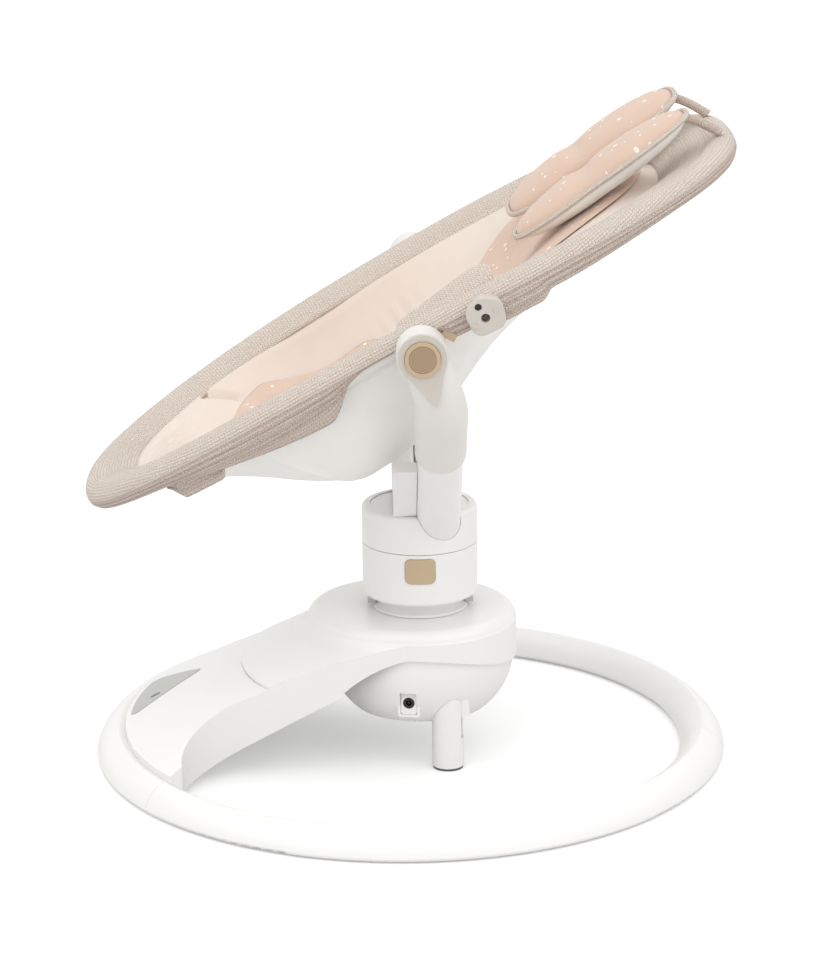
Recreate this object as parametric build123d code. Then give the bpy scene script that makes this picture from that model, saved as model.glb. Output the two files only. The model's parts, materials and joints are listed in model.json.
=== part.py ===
from build123d import *
import os
from math import acos, atan2, cos, degrees, exp, pi, radians, sin, sqrt, tan

# Baby swing. Millimetres, +Z up, origin on the floor at the centre of the base ring,
# -X to the front tongue and the baby's feet, +X to the back and the baby's head.

# Fits shared by mating pieces
GAP = 0.3
RUNNING_FIT = 0.05
WALL = 3.0

# Base ring
RING_R = 300.0
RING_W = 43.0
RING_H = 27.0
RIDGE_IN = 21.0
PAD_H = 1.5
SEAM_HALF = 45.0
SEAM_GAP = 0.4

# Hub and tongue
HUB_X = 11.0
HUB_R = 91.0
HUB_LONGER = 17.0
HUB_TOP = 140.0
TONGUE_TOP = 112.0
TONGUE_START = 100.0
TONGUE_END = 272.0
SIDE_X = -140.0
SIDE_Y = 112.0
PAN_BOTTOM = 45.0
PAN_R = 64.0
PAN_BELLY = 82.5
PAN_BELLY_Z = 70.0
PAN_LIP = 106.0
PAN_TOP = 117.0
SHAFT_R = 10.0
BEARING_R = 17.0
BEARING_H = 10.0

# Support leg under the hub
LEG_R = 14.8
LEG_OUT = 68.5
LEG_TURN = -60.5
LEG_PAD = 2.5

# Control panel on the tongue
PANEL_TIP = 202.0
PANEL_ARC = 267.0
PANEL_HALF = 11.5

# Power inlet
JACK_Z = 69.0
JACK_PLATE_W = 15.0
JACK_PLATE_H = 22.0
JACK_BORE = 2.75
JACK_DEPTH = 9.5

# Swing drive
GEAR_MODULE = 1.5
PINION_TEETH = 12
SECTOR_TEETH = 42
GEAR_Z = 88.0
GEAR_H = 8.0
BACKLASH = 0.4
MOTOR_R = 16.0

# Turret, turned to where it stands in the rest pose
SWING_REST = 9.7
NECK_R = 38.0
TURRET_R = 54.3
TURRET_BOTTOM = 154.0
TURRET_SEAM = 205.0
TURRET_TOP = 241.0
BUTTON_W = 28.0
BUTTON_H = 24.0
BUTTON_Z = 189.0
BUTTON_TURN = -1.0

# Yoke
ARM_X = 17.0
ARM_R = 20.5
ARM_WALL = 2.5
ARM_LEAN = 44.5
ARM_APEX_Z = 196.3
ARM_BEND = 30.0
ARM_END_Y = 150.0
SLEEVE_R = 23.3
SLEEVE_START_Y = 127.0
WEB_X = -25.0

# Recline pivot
PIVOT_X = 0.0
PIVOT_Z = 432.5
HEAD_R = 22.5
HEAD_IN = 180.8
HEAD_OUT = 213.0
PIN_R = 8.0
PIN_OUT = 195.0
ROUND_BUTTON_R = 15.5
ROUND_BUTTON_DEEP = 13.0
BUTTON_PROUD = 2.5

# Seat rim and bowl, in the seat's own frame: x to the head, z out of the bowl, origin on the pivot axis
SEAT_TILT = 28.9
RIM_X = -14.0
RIM_A = 326.0
RIM_B = 165.0
RIM_POWER = 2.69
RIM_WIDER = 0.165
RIM_Z = 13.0
RIM_BOW = -13.7
TUBE_R = 9.7
TUBE_WALL = 1.6
COVER_HALF_W = 15.5
COVER_HALF_H = 17.0
COVER_DROP = 5.0
BOWL_DEEPEST = -108.0
BOWL_SAG = 88.0
BOWL_RIM_DEPTH = 28.0
SLING_T = 2.4
LINER_T = 13.0
INSERT_T = 14.0
INSERT_LIFT = 1.6
PILLOW_LONG = 192.0
PILLOW_WIDE = 72.0
PILLOW_THICK = 31.0
PILLOW_X = 206.0
PILLOW_Y = 55.0
PILLOW_Z = 33.0
PILLOW_WING = 8.0
STRAP_W = 24.0
SOCKET_X = 63.4
SOCKET_Z = 1.0
SOCKET_R = 20.0
SOCKET_IN = 183.5
SOCKET_OUT = 198.0
SOCKET_BORE = 4.0

os.makedirs("parts", exist_ok=True)
parts = {}
UPWARD = (Align.CENTER, Align.CENTER, Align.MIN)


def box_between(low, high):
    size = [b - a for a, b in zip(low, high)]
    return Pos(*low) * Box(*size, align=(Align.MIN, Align.MIN, Align.MIN))


def ring_tube(outer, inner, low, high):
    tube = Pos(0, 0, low) * Cylinder(outer, high - low, align=UPWARD)
    return tube - Pos(0, 0, low - 1) * Cylinder(inner, high - low + 2, align=UPWARD)


def rod_y(radius, x, z, y0, y1):
    """A round rod along Y between y0 and y1."""
    return Pos(x, (y0 + y1) / 2, z) * Rot(90, 0, 0) * Cylinder(radius, abs(y1 - y0))


def bowed(a, b, bulge):
    """An arc from a to b that stands out to the right of the way by the bulge."""
    dx, dy = b[0] - a[0], b[1] - a[1]
    length = sqrt(dx * dx + dy * dy)
    middle = ((a[0] + b[0]) / 2 + dy / length * bulge, (a[1] + b[1]) / 2 - dx / length * bulge)
    return ThreePointArc(a, middle, b)


def both_sides(shape):
    return shape, mirror(shape, Plane.XZ)


def group(*shapes):
    solids = []
    for shape in shapes:
        solids += shape.solids()
    return Compound(solids)


# Base ring: two halves and the front piece that belongs to the tongue

def ring_section(inset):
    outer = (RING_R - inset, PAD_H + inset)
    ridge = (RING_R - RIDGE_IN, RING_H - inset * 1.2)
    inner = (RING_R - RING_W + inset, PAD_H + inset)
    flank = bowed(outer, ridge, 5.0 - inset * 0.4)
    edges = Line(inner, outer) + flank + bowed(ridge, inner, 4.0 - inset * 0.4)
    face = make_face(edges)
    return Plane.XZ * fillet(face.vertices(), 3.0 if inset < 1 else 1.0)


def ring_arc(start, sweep, inset=0.0):
    return Rot(0, 0, start) * revolve(ring_section(inset), Axis.Z, revolution_arc=sweep)


seam_turn = degrees(SEAM_GAP / 2 / RING_R)
half_sweep = 180 - SEAM_HALF - 2 * seam_turn
ring_near = ring_arc(-half_sweep - seam_turn, half_sweep) - ring_arc(-half_sweep - 1, half_sweep + 2, WALL)
parts["ring_near"] = ring_near
parts["ring_far"] = mirror(ring_near, Plane.XZ)

spigot = ring_arc(-5, 10, WALL + GAP)
seams = (0, 180 - SEAM_HALF, 180 + SEAM_HALF)
parts["ring_spigots"] = group(*[Rot(0, 0, turn) * spigot for turn in seams])

pad_section = Plane.XZ * Pos(RING_R - RIDGE_IN, PAD_H / 2) * Rectangle(12, PAD_H)
pad = Rot(0, 0, -9) * revolve(pad_section, Axis.Z, revolution_arc=18)
parts["floor_pads"] = group(*[Rot(0, 0, turn) * pad for turn in (25, 70, 115, 155, 205, 245, 290, 335)])

# Upper base moulding: hub top, tongue and the front of the ring as one shell

def plan_prism(inset):
    """The moulding's outline seen from above, as a tall prism."""
    half = radians(SEAM_HALF - seam_turn * (1 + inset))
    outer_r = RING_R - inset
    inner_r = RING_R - RING_W + 2.0 + inset
    radius = HUB_R - inset
    start = (HUB_X, -radius)
    side = (SIDE_X, -SIDE_Y + inset)
    neck = (-inner_r * cos(half), -inner_r * sin(half))
    nose = (-outer_r * cos(half), -outer_r * sin(half))
    flank = Line(start, side)
    sweep_out = TangentArc(side, neck, tangent=(side[0] - start[0], side[1] - start[1]))
    lower = flank + sweep_out + Line(neck, nose)
    upper = mirror(lower, Plane.XZ)
    back = ThreePointArc(start, (HUB_X + radius, 0), (HUB_X, radius))
    front = ThreePointArc(nose, (-outer_r, 0), (nose[0], -nose[1]))
    return extrude(make_face(lower + upper + back + front), HUB_TOP + 10)


def cone(drop, end):
    """The tongue's sloping top, turned about the ring's centre."""
    slope = (TONGUE_TOP - RING_H - 3) / (TONGUE_END - TONGUE_START)
    low = TONGUE_TOP - slope * (end - TONGUE_START)
    crown = ((TONGUE_START + end) / 2, (TONGUE_TOP + low) / 2 + 3.0 - drop)
    top = ThreePointArc((TONGUE_START, TONGUE_TOP - drop), crown, (end, low - drop))
    crest = TONGUE_TOP - drop
    sides = Polyline((end, low - drop), (end, 0), (0, 0), (0, crest), (TONGUE_START, crest))
    return revolve(Plane.XZ * make_face(top + sides), Axis.Z)


def hub_drum(drop):
    """The round hub top with the hollow flare that runs down into the tongue."""
    top = HUB_TOP - drop
    edge = HUB_R - 11
    roll = ThreePointArc((edge, top), (edge + 6.8, top - 2.8), (edge + 10, top - 9))
    flare = ThreePointArc((edge + 10, top - 9), (edge + 16, top - 18), (edge + 30, top - 26))
    skirt = (edge + 74, top - 50)
    sides = Polyline((edge + 30, top - 26), skirt, (edge + 74, 0), (0, 0), (0, top), (edge, top))
    half = make_face(roll + flare + sides)
    drum = revolve(Plane.XZ * half, Axis.Z)
    middle = extrude(Plane.YZ * (half + mirror(half, Plane.YZ)), -HUB_LONGER)
    return Pos(HUB_X, 0, 0) * (drum + middle + Pos(-HUB_LONGER, 0, 0) * drum)


under_line = Polyline((-320, PAD_H), (-192, PAD_H), (-53, 77))
under_front = ThreePointArc((-53, 77), (-20, 102), (HUB_X, 114))
under_back = ThreePointArc((HUB_X, 114), (66, 107), (118, 84))
under_rest = Polyline((118, 84), (118, -20), (-320, -20), (-320, PAD_H))
under = extrude(Plane.XZ * make_face(under_line + under_front + under_back + under_rest), 330, both=True)

front_arc = ring_arc(180 - SEAM_HALF + seam_turn, 2 * (SEAM_HALF - seam_turn))
shell = (cone(0, TONGUE_END) + hub_drum(0)) & plan_prism(0)
shell = shell + front_arc - under
inside_r = RING_R - RING_W
hollow = (cone(WALL, inside_r) + hub_drum(WALL)) & plan_prism(WALL)
hollow = hollow & (Cylinder(inside_r - 1, 600) + box_between((-60, -200, 0), (300, 200, 300)))
boss = Pos(HUB_X, 0, 0) * ring_tube(BEARING_R + 5, BEARING_R + GAP, HUB_TOP - 20, HUB_TOP)
shell = shell - hollow - ring_arc(180 - SEAM_HALF - 1, 2 * SEAM_HALF + 2, WALL)
shell = shell - Pos(HUB_X, 0, HUB_TOP) * Cylinder(BEARING_R + GAP, 60) + boss

panel_slab = cone(-0.5, TONGUE_END) - cone(1.4, TONGUE_END)
panel_bed = cone(-1.0, TONGUE_END) - cone(1.7, TONGUE_END)


def panel_prism(grow):
    half = radians(PANEL_HALF)
    tip = (-PANEL_TIP + grow * 2, 0)
    arc_r = PANEL_ARC + grow
    corner = (-arc_r * cos(half), -arc_r * sin(half) - grow)
    edges = Line(tip, corner) + ThreePointArc(corner, (-arc_r, 0), (corner[0], -corner[1]))
    face = make_face(edges + Line((corner[0], -corner[1]), tip))
    return extrude(fillet(face.vertices(), 6.0), 140)


lens_place = Pos(-245, -20, 0)
lens_prism = lens_place * extrude(Ellipse(5.0, 3.2), 140)
lens_hole = lens_place * extrude(Ellipse(5.2, 3.4), 140)
parts["base_shell"] = shell - (panel_bed & panel_prism(GAP))
parts["control_panel"] = (panel_slab & panel_prism(0)) - lens_hole
parts["panel_window"] = panel_slab & lens_prism

# Cover that closes the tongue from below
cover_sheet = Polyline(
    (-300, 2), (-191, 2), (-60, 73.2), (-62, 76.8), (-192, 5), (-300, 5), (-300, 2))
cover = extrude(Plane.XZ * make_face(cover_sheet), 300, both=True) & plan_prism(WALL + GAP)
cover = cover & Cylinder(inside_r - 1 - GAP, 600)
parts["tongue_cover"] = cover - Pos(HUB_X, 0, 0) * Cylinder(HUB_R - WALL + GAP, 600)

# Circuit board lying on the tongue cover
cover_slope = degrees(atan2(71.2, 131))
board_at = Pos(-160, 0, 2 + 31 * 71.2 / 131) * Rot(0, -cover_slope, 0)
parts["circuit_board"] = board_at * Pos(0, 0, 5.0) * Box(64, 90, 1.6)
parts["speaker"] = board_at * Pos(0, 66, 3.9) * Cylinder(18, 7, align=UPWARD)

# Hub pan under the shell


def pan_bowl(grow, low, high):
    """The pan's rounded outline as a solid of revolution between two heights."""
    lip = (HUB_R - WALL - 3 * GAP + grow, PAN_LIP)
    bottom = (PAN_R + grow * 0.6, low)
    wall = ThreePointArc(bottom, (PAN_BELLY + grow, PAN_BELLY_Z), lip)
    collar = Polyline(lip, (lip[0], high), (0, high), (0, low), bottom)
    return revolve(Plane.XZ * make_face(wall + collar), Axis.Z)


pan = pan_bowl(0, PAN_BOTTOM, PAN_TOP)
pan_room = pan_bowl(-WALL, PAN_BOTTOM + WALL, PAN_TOP)
plate_back = -77.0
jack_hood = Pos(0, plate_back + 2.0, JACK_Z) * Box(JACK_PLATE_W + 6, 10, JACK_PLATE_H + 6)
jack_hood = fillet(jack_hood.edges().filter_by(Axis.Y), 3)
screw_turn = radians(-51)
screw_x, screw_y = 76 * cos(screw_turn), 76 * sin(screw_turn)
screw_boss = Pos(screw_x, screw_y, PAN_BOTTOM + 7) * Cylinder(6.5, 16, align=UPWARD)
pan = pan - pan_room + jack_hood + screw_boss
pan = pan - Pos(screw_x, screw_y, PAN_BOTTOM) * Cylinder(3.2, 30)
pan = pan - Pos(0, plate_back - 20, JACK_Z) * Box(JACK_PLATE_W + 2 * GAP, 40, JACK_PLATE_H + 2 * GAP)
pan = pan - rod_y(5.2 + GAP, 0, JACK_Z, plate_back - 1, -60)
bearing_boss = ring_tube(BEARING_R + 5, BEARING_R + GAP, PAN_BOTTOM + WALL - 1, PAN_BOTTOM + WALL + BEARING_H)
parts["hub_pan"] = Pos(HUB_X, 0, 0) * (pan + bearing_boss)

plate = Pos(0, plate_back - 1.5, JACK_Z) * Box(JACK_PLATE_W, 3, JACK_PLATE_H)
plate = fillet(plate.edges().filter_by(Axis.Y), 2.5)
plate -= rod_y(5.2 + GAP, 0, JACK_Z, plate_back - 5, plate_back + 5)
parts["jack_plate"] = Pos(HUB_X, 0, 0) * plate
jack = rod_y(5.2, 0, JACK_Z, plate_back - 3, -64)
jack -= rod_y(JACK_BORE, 0, JACK_Z, plate_back - 4, plate_back - 3 + JACK_DEPTH)
jack = jack + rod_y(1.0, 0, JACK_Z, plate_back - 2, plate_back + 8)
parts["dc_socket"] = Pos(HUB_X, 0, 0) * jack

# Support leg
leg_x = HUB_X + LEG_OUT * cos(radians(LEG_TURN))
leg_y = LEG_OUT * sin(radians(LEG_TURN))
leg = Pos(leg_x, leg_y, 0) * ring_tube(LEG_R, LEG_R - 2.5, LEG_PAD, PAN_TOP - 20)
leg = leg - Pos(HUB_X + screw_x, screw_y, 60) * Cylinder(6.5 + GAP, 60)
parts["support_leg"] = leg - Pos(HUB_X, 0, 0) * pan_bowl(GAP, PAN_BOTTOM - GAP, PAN_TOP)
foot = Pos(0, 0, 0) * Cylinder(LEG_R - 0.6, LEG_PAD, align=UPWARD)
parts["leg_pad"] = Pos(leg_x, leg_y, 0) * foot

# Bearings of the swing shaft
low_bearing = ring_tube(BEARING_R, SHAFT_R + RUNNING_FIT, PAN_BOTTOM + WALL, PAN_BOTTOM + WALL + BEARING_H)
high_bearing = ring_tube(BEARING_R, SHAFT_R + RUNNING_FIT, HUB_TOP - BEARING_H, HUB_TOP)
parts["shaft_bearings"] = Pos(HUB_X, 0, 0) * group(low_bearing, high_bearing)

# Swing drive: a motor pinion in mesh with a toothed sector on the shaft

def tooth_points(teeth, index):
    """One involute tooth, root to root, on a gear centred at the origin."""
    pitch_r = GEAR_MODULE * teeth / 2
    base_r = pitch_r * cos(radians(20))
    root_r = pitch_r - 1.25 * GEAR_MODULE
    tip_r = pitch_r + 0.9 * GEAR_MODULE

    def spread(r):
        if r <= base_r:
            return 0.0
        turn = acos(base_r / r)
        return tan(turn) - turn

    half = pi / (2 * teeth) + spread(pitch_r) - BACKLASH / 2 / pitch_r
    flank_r = max(root_r + 0.1, base_r)
    radii = [root_r] + [flank_r + (tip_r - flank_r) * k / 4 for k in range(5)]
    middle = 2 * pi * index / teeth
    left = [(r * cos(middle - half + spread(r)), r * sin(middle - half + spread(r))) for r in radii]
    right = [(r * cos(middle + half - spread(r)), r * sin(middle + half - spread(r))) for r in reversed(radii)]
    return left + right


def close_loop(points):
    return make_face(Polyline(*points, points[0]))


distance = GEAR_MODULE * (PINION_TEETH + SECTOR_TEETH) / 2
pinion_points = []
for index in range(PINION_TEETH):
    pinion_points += tooth_points(PINION_TEETH, index + 0.5)
pinion = Pos(0, 0, GEAR_Z - GEAR_H / 2) * extrude(close_loop(pinion_points), GEAR_H)
motor_top = GEAR_Z - GEAR_H / 2 - 2.5
pinion = pinion + Pos(0, 0, motor_top + GAP) * Cylinder(6, 4, align=UPWARD)
pinion = pinion - Cylinder(2.0 + RUNNING_FIT, 400)
motor_floor = PAN_BOTTOM + WALL
motor = Pos(0, 0, motor_floor) * Cylinder(MOTOR_R, motor_top - motor_floor, align=UPWARD)
motor = fillet(motor.edges(), 1.5) + Pos(0, 0, motor_top - 1) * Cylinder(
    2.0, GEAR_H + 4, align=UPWARD)
parts["drive_motor"] = Pos(HUB_X - distance, 0, 0) * motor
parts["drive_pinion"] = Pos(HUB_X - distance, 0, 0) * pinion

sector_points = []
for index in range(-5, 6):
    sector_points += tooth_points(SECTOR_TEETH, index + SECTOR_TEETH / 2)
sector_points += [(-8, -16), (10, -14), (14, 0), (10, 14), (-8, 16)]
sector = Pos(0, 0, GEAR_Z - GEAR_H / 2) * extrude(close_loop(sector_points), GEAR_H)
sector = sector + Pos(0, 0, GEAR_Z) * Cylinder(17, GEAR_H + 4) - Cylinder(SHAFT_R, 400)
parts["drive_sector"] = Pos(HUB_X, 0, 0) * sector

# Everything above turns with the turret


def on_turret(shape):
    return Pos(HUB_X, 0, 0) * Rot(0, 0, SWING_REST) * shape


def on_seat(shape):
    return on_turret(Pos(PIVOT_X, 0, PIVOT_Z) * Rot(0, -SEAT_TILT, 0) * shape)


# Yoke tube, bent to a V whose two arms lean outward
lean = radians(ARM_LEAN)


def arm_point(y):
    return Vector(ARM_X, y, ARM_APEX_Z + abs(y) / tan(lean))


bend_y = ARM_BEND * cos(lean)
bend_low = ARM_APEX_Z + ARM_BEND / sin(lean) - ARM_BEND


def yoke_path(end_y):
    near = Line(arm_point(-end_y), arm_point(-bend_y))
    bend = ThreePointArc(arm_point(-bend_y), (ARM_X, 0, bend_low), arm_point(bend_y))
    return Wire([near.edge(), bend.edge(), Line(arm_point(bend_y), arm_point(end_y)).edge()])


arm_way = Vector(0, -sin(lean), cos(lean))


def yoke_rod(radius, end_y):
    start = Plane(origin=arm_point(-end_y), z_dir=-arm_way)
    return sweep(start * Circle(radius), path=yoke_path(end_y))


yoke_solid = yoke_rod(ARM_R, ARM_END_Y)
yoke_clear = yoke_rod(ARM_R + GAP, ARM_END_Y + 30)
parts["yoke_tube"] = on_turret(yoke_solid - yoke_rod(ARM_R - ARM_WALL, ARM_END_Y))

# Swing column: shaft, neck and the saddle that carries the yoke
column_line = Polyline(
    (0, 51), (SHAFT_R, 51), (SHAFT_R, HUB_TOP + 0.5), (NECK_R + 7, HUB_TOP + 0.5), (NECK_R + 7, HUB_TOP + 3))
column_flare = ThreePointArc((NECK_R + 7, HUB_TOP + 3), (NECK_R + 1.8, HUB_TOP + 6), (NECK_R, HUB_TOP + 12))
column_top = Polyline(
    (NECK_R, HUB_TOP + 12), (NECK_R, TURRET_BOTTOM), (30, TURRET_BOTTOM), (30, 203), (0, 203), (0, 51))
column = revolve(Plane.XZ * make_face(column_line + column_flare + column_top), Axis.Z)
column = column - yoke_clear
parts["swing_column"] = on_turret(column)

bracket = box_between((NECK_R + 4.4, -7, HUB_TOP + 4.0), (NECK_R + 6.4, 7, TURRET_BOTTOM))
bracket = bracket + box_between((NECK_R + 4.4, -7, HUB_TOP + 4.0), (NECK_R + 12, 7, HUB_TOP + 6.0))
parts["neck_brackets"] = on_turret(group(bracket, mirror(bracket, Plane.YZ)))

# Web between the feet of the two arms
web_foot = TURRET_TOP + GAP
web_sides = Polyline((88, 305), (108, 301), (48, web_foot), (-48, web_foot), (-108, 301), (-88, 305))
web_face = make_face(web_sides + ThreePointArc((-88, 305), (0, 262), (88, 305)))
web_at = Plane(origin=(WEB_X, 0, 0), x_dir=(0, 1, 0), z_dir=(1, 0, 0))
web = extrude(web_at * web_face, ARM_X - ARM_R - GAP - WEB_X)
parts["yoke_web"] = on_turret(fillet(web.edges().filter_by(GeomType.CIRCLE), 4))

# Turret casing
inner_r = TURRET_R - WALL
low_line = Polyline((30 + GAP, TURRET_BOTTOM), (TURRET_R - 4, TURRET_BOTTOM))
low_bend = (TURRET_R - 1.2, TURRET_BOTTOM + 1.2)
low_roll = ThreePointArc((TURRET_R - 4, TURRET_BOTTOM), low_bend, (TURRET_R, TURRET_BOTTOM + 4))
low_rest = Polyline(
    (TURRET_R, TURRET_BOTTOM + 4), (TURRET_R, TURRET_SEAM - GAP), (inner_r, TURRET_SEAM - GAP),
    (inner_r, TURRET_BOTTOM + WALL), (30 + GAP, TURRET_BOTTOM + WALL), (30 + GAP, TURRET_BOTTOM))
turret_low = revolve(Plane.XZ * make_face(low_line + low_roll + low_rest), Axis.Z)


def button_prism(grow):
    face = RectangleRounded(BUTTON_W + 2 * grow, BUTTON_H + 2 * grow, 5.0 + grow)
    prism = extrude(Plane(origin=(0, -30, BUTTON_Z), x_dir=(1, 0, 0), z_dir=(0, -1, 0)) * face, 40)
    return Rot(0, 0, BUTTON_TURN) * prism


turret_low = turret_low - button_prism(GAP) - mirror(button_prism(GAP), Plane.XZ)
parts["turret_lower"] = on_turret(turret_low)

cap_r = TURRET_R - 8.0
high_line = Polyline(
    (inner_r, TURRET_SEAM + GAP), (TURRET_R, TURRET_SEAM + GAP), (TURRET_R, TURRET_TOP - 4))
high_bend = (TURRET_R - 1.2, TURRET_TOP - 1.2)
high_roll = ThreePointArc((TURRET_R, TURRET_TOP - 4), high_bend, (TURRET_R - 4, TURRET_TOP))
high_rest = Polyline(
    (TURRET_R - 4, TURRET_TOP), (cap_r, TURRET_TOP), (cap_r, TURRET_TOP - 6), (inner_r, TURRET_TOP - 6),
    (inner_r, TURRET_SEAM + GAP))
turret_high = revolve(Plane.XZ * make_face(high_line + high_roll + high_rest), Axis.Z)
parts["turret_upper"] = on_turret(turret_high - yoke_clear)
cap = Pos(0, 0, TURRET_TOP - 5) * Cylinder(cap_r - GAP, 4, align=UPWARD)
parts["turret_cap"] = on_turret(cap - yoke_clear)

button_band = ring_tube(TURRET_R + 1.0, TURRET_R - 6.0, BUTTON_Z - 20, BUTTON_Z + 20)
release_button = button_prism(0) & button_band
for name, shape in zip(("near", "far"), both_sides(release_button)):
    parts["release_button_" + name] = on_turret(shape)

# Arm elbows that end in the pivot heads
elbow_start = arm_point(-SLEEVE_START_Y)
elbow_bend = arm_point(-174)
elbow_end = Vector(PIVOT_X, -(HEAD_IN + HEAD_OUT) / 2, PIVOT_Z - 2)
sleeve_ring = Plane(origin=elbow_start, z_dir=arm_way) * Circle(SLEEVE_R)
sleeve = sweep(sleeve_ring, path=Line(elbow_start, elbow_bend))
bend_path = Spline(elbow_bend, elbow_end, tangents=[arm_way, (-0.42, 0, 1)])
bend_first = Plane(origin=elbow_bend, x_dir=(1, 0, 0), z_dir=arm_way) * Circle(SLEEVE_R)
bend_way = bend_path % 1
bend_last = Plane(origin=elbow_end, x_dir=(bend_way.Z, 0, -bend_way.X), z_dir=bend_way) * Ellipse(
    20.0, (HEAD_OUT - HEAD_IN) / 2 - 0.8)
upper_bend = sweep([bend_first, bend_last], path=bend_path, multisection=True)
head = rod_y(HEAD_R, PIVOT_X, PIVOT_Z, -HEAD_IN, -HEAD_OUT)
elbow = sleeve + upper_bend + head
elbow = elbow - yoke_rod(ARM_R + GAP, ARM_END_Y + GAP)
elbow = elbow - rod_y(PIN_R + RUNNING_FIT, PIVOT_X, PIVOT_Z, -HEAD_IN + 10, -PIN_OUT - 1)
button_in = HEAD_OUT - ROUND_BUTTON_DEEP
elbow = elbow - rod_y(ROUND_BUTTON_R + GAP, PIVOT_X, PIVOT_Z, -button_in, -HEAD_OUT - 5)
for name, shape in zip(("near", "far"), both_sides(elbow)):
    parts["elbow_" + name] = on_turret(shape)

# Grey face plates on the pivot heads, and the round recline buttons in them
plate_top = HEAD_OUT + 1.8
tip = (PIVOT_X + 12.0, PIVOT_Z - 44.0)
tip_turn = atan2(tip[1] - PIVOT_Z, tip[0] - PIVOT_X)
tip_far = sqrt((tip[0] - PIVOT_X) ** 2 + (tip[1] - PIVOT_Z) ** 2)
face_r = HEAD_R - 1.5
touch = acos(face_r / tip_far)
left_turn, right_turn = tip_turn - touch, tip_turn + touch
left = (PIVOT_X + face_r * cos(left_turn), PIVOT_Z + face_r * sin(left_turn))
right = (PIVOT_X + face_r * cos(right_turn), PIVOT_Z + face_r * sin(right_turn))
crown_point = (PIVOT_X - face_r * cos(tip_turn), PIVOT_Z - face_r * sin(tip_turn))
tear = make_face(Line(tip, right) + ThreePointArc(right, crown_point, left) + Line(left, tip))
tear_face = Plane(origin=(0, -HEAD_OUT, 0), x_dir=(1, 0, 0), z_dir=(0, -1, 0)) * tear
face_plate = extrude(tear_face, plate_top - HEAD_OUT)
face_plate = face_plate - rod_y(ROUND_BUTTON_R + GAP, PIVOT_X, PIVOT_Z, -HEAD_OUT + 5, -HEAD_OUT - 9)
recline_button = rod_y(ROUND_BUTTON_R, PIVOT_X, PIVOT_Z, -button_in - 5.0, -plate_top - BUTTON_PROUD)
recline_button = recline_button - (
    rod_y(12.2, PIVOT_X, PIVOT_Z, -plate_top - BUTTON_PROUD + 1.0, -plate_top - 9)
    - rod_y(11.2, PIVOT_X, PIVOT_Z, -plate_top, -plate_top - 9))
for name, sign in (("near", 1), ("far", -1)):
    plate_shape = face_plate if sign > 0 else mirror(face_plate, Plane.XZ)
    button_shape = recline_button if sign > 0 else mirror(recline_button, Plane.XZ)
    parts["pivot_plate_" + name] = on_turret(plate_shape)
    parts["recline_button_" + name] = on_turret(button_shape)

# Seat frame: two bent tube hoops joined at the pivots


def rim_half_width(x, inset=0.0):
    along = (x - RIM_X) / RIM_A
    u = min(abs(x - RIM_X) / (RIM_A - inset), 1.0)
    return (RIM_B * (1 + RIM_WIDER * along) - inset) * (1 - u ** RIM_POWER) ** (1 / RIM_POWER)


def rim_height(x):
    return RIM_Z + RIM_BOW * ((x - RIM_X) / RIM_A) ** 2


def rim_point(turn):
    c, s = cos(turn), sin(turn)
    along = abs(c) ** (2 / RIM_POWER) * (1 if c > 0 else -1)
    y = RIM_B * (1 + RIM_WIDER * along) * abs(s) ** (2 / RIM_POWER) * (1 if s > 0 else -1)
    x = RIM_X + RIM_A * along
    return Vector(x, y, rim_height(x))


def rim_turn_at(x):
    along = (x - RIM_X) / RIM_A
    return acos(abs(along) ** (RIM_POWER / 2) * (1 if along > 0 else -1))


def hoop_path(x):
    """The rim's centre line round one end, from the near side to the far side."""
    turn = rim_turn_at(x)
    steps = 16
    if x > RIM_X:
        turns = [-turn + 2 * turn * k / steps for k in range(steps + 1)]
    else:
        turns = [-turn - 2 * (pi - turn) * k / steps for k in range(steps + 1)]
    return Spline(*[rim_point(t) for t in turns])


def along_hoop(path, face):
    start = path @ 0
    way = path % 0
    plane = Plane(origin=start, x_dir=Vector(0, 0, 1).cross(way), z_dir=way)
    return sweep(plane * face, path=path)


JOINT_HEAD_X = 48.0
JOINT_H = 24.5
TUBE_DROP = 5.0
JOINT_FEET_X = -18.0
tube_face = Circle(TUBE_R) - Circle(TUBE_R - TUBE_WALL)
tube_place = Pos(0, 0, -TUBE_DROP)
head_hoop = tube_place * along_hoop(hoop_path(JOINT_HEAD_X), tube_face)
feet_hoop = tube_place * along_hoop(hoop_path(JOINT_FEET_X), tube_face)
parts["rim_tube_head"] = on_seat(head_hoop)
parts["rim_tube_feet"] = on_seat(feet_hoop)

# Side joints: pivot pin, tube sockets and the toy-bar socket's seat
tube_clear = along_hoop(hoop_path(JOINT_HEAD_X), Circle(TUBE_R + GAP))
tube_clear = tube_place * (tube_clear + along_hoop(hoop_path(JOINT_FEET_X), Circle(TUBE_R + GAP)))
joint_in, joint_out = RIM_B - 11.5, RIM_B + 12.0
joint_bar_at = Pos(34, -(joint_in + joint_out) / 2, RIM_Z - 1 - TUBE_DROP)
joint_bar = joint_bar_at * Box(112, joint_out - joint_in, JOINT_H)
joint_bar = fillet(joint_bar.edges().filter_by(Axis.X), 11)
joint_hub = rod_y(19, 0, 0, -joint_in, -joint_out)
joint = joint_bar + joint_hub + rod_y(PIN_R, 0, 0, -joint_out + 2, -PIN_OUT)
joint = joint + rod_y(SOCKET_R - 4, SOCKET_X, SOCKET_Z, -joint_out + 4, -SOCKET_IN)
joint = joint - tube_clear
socket_in = SOCKET_IN + GAP
tri = make_face(Polyline((-16, -13), (14, -15), (20, 8), (4, 19), (-15, 12), (-16, -13)))
tri = fillet(tri.vertices(), 10)
tri_plane = Plane(origin=(SOCKET_X, -socket_in, SOCKET_Z), x_dir=(1, 0, 0), z_dir=(0, -1, 0))
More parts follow.
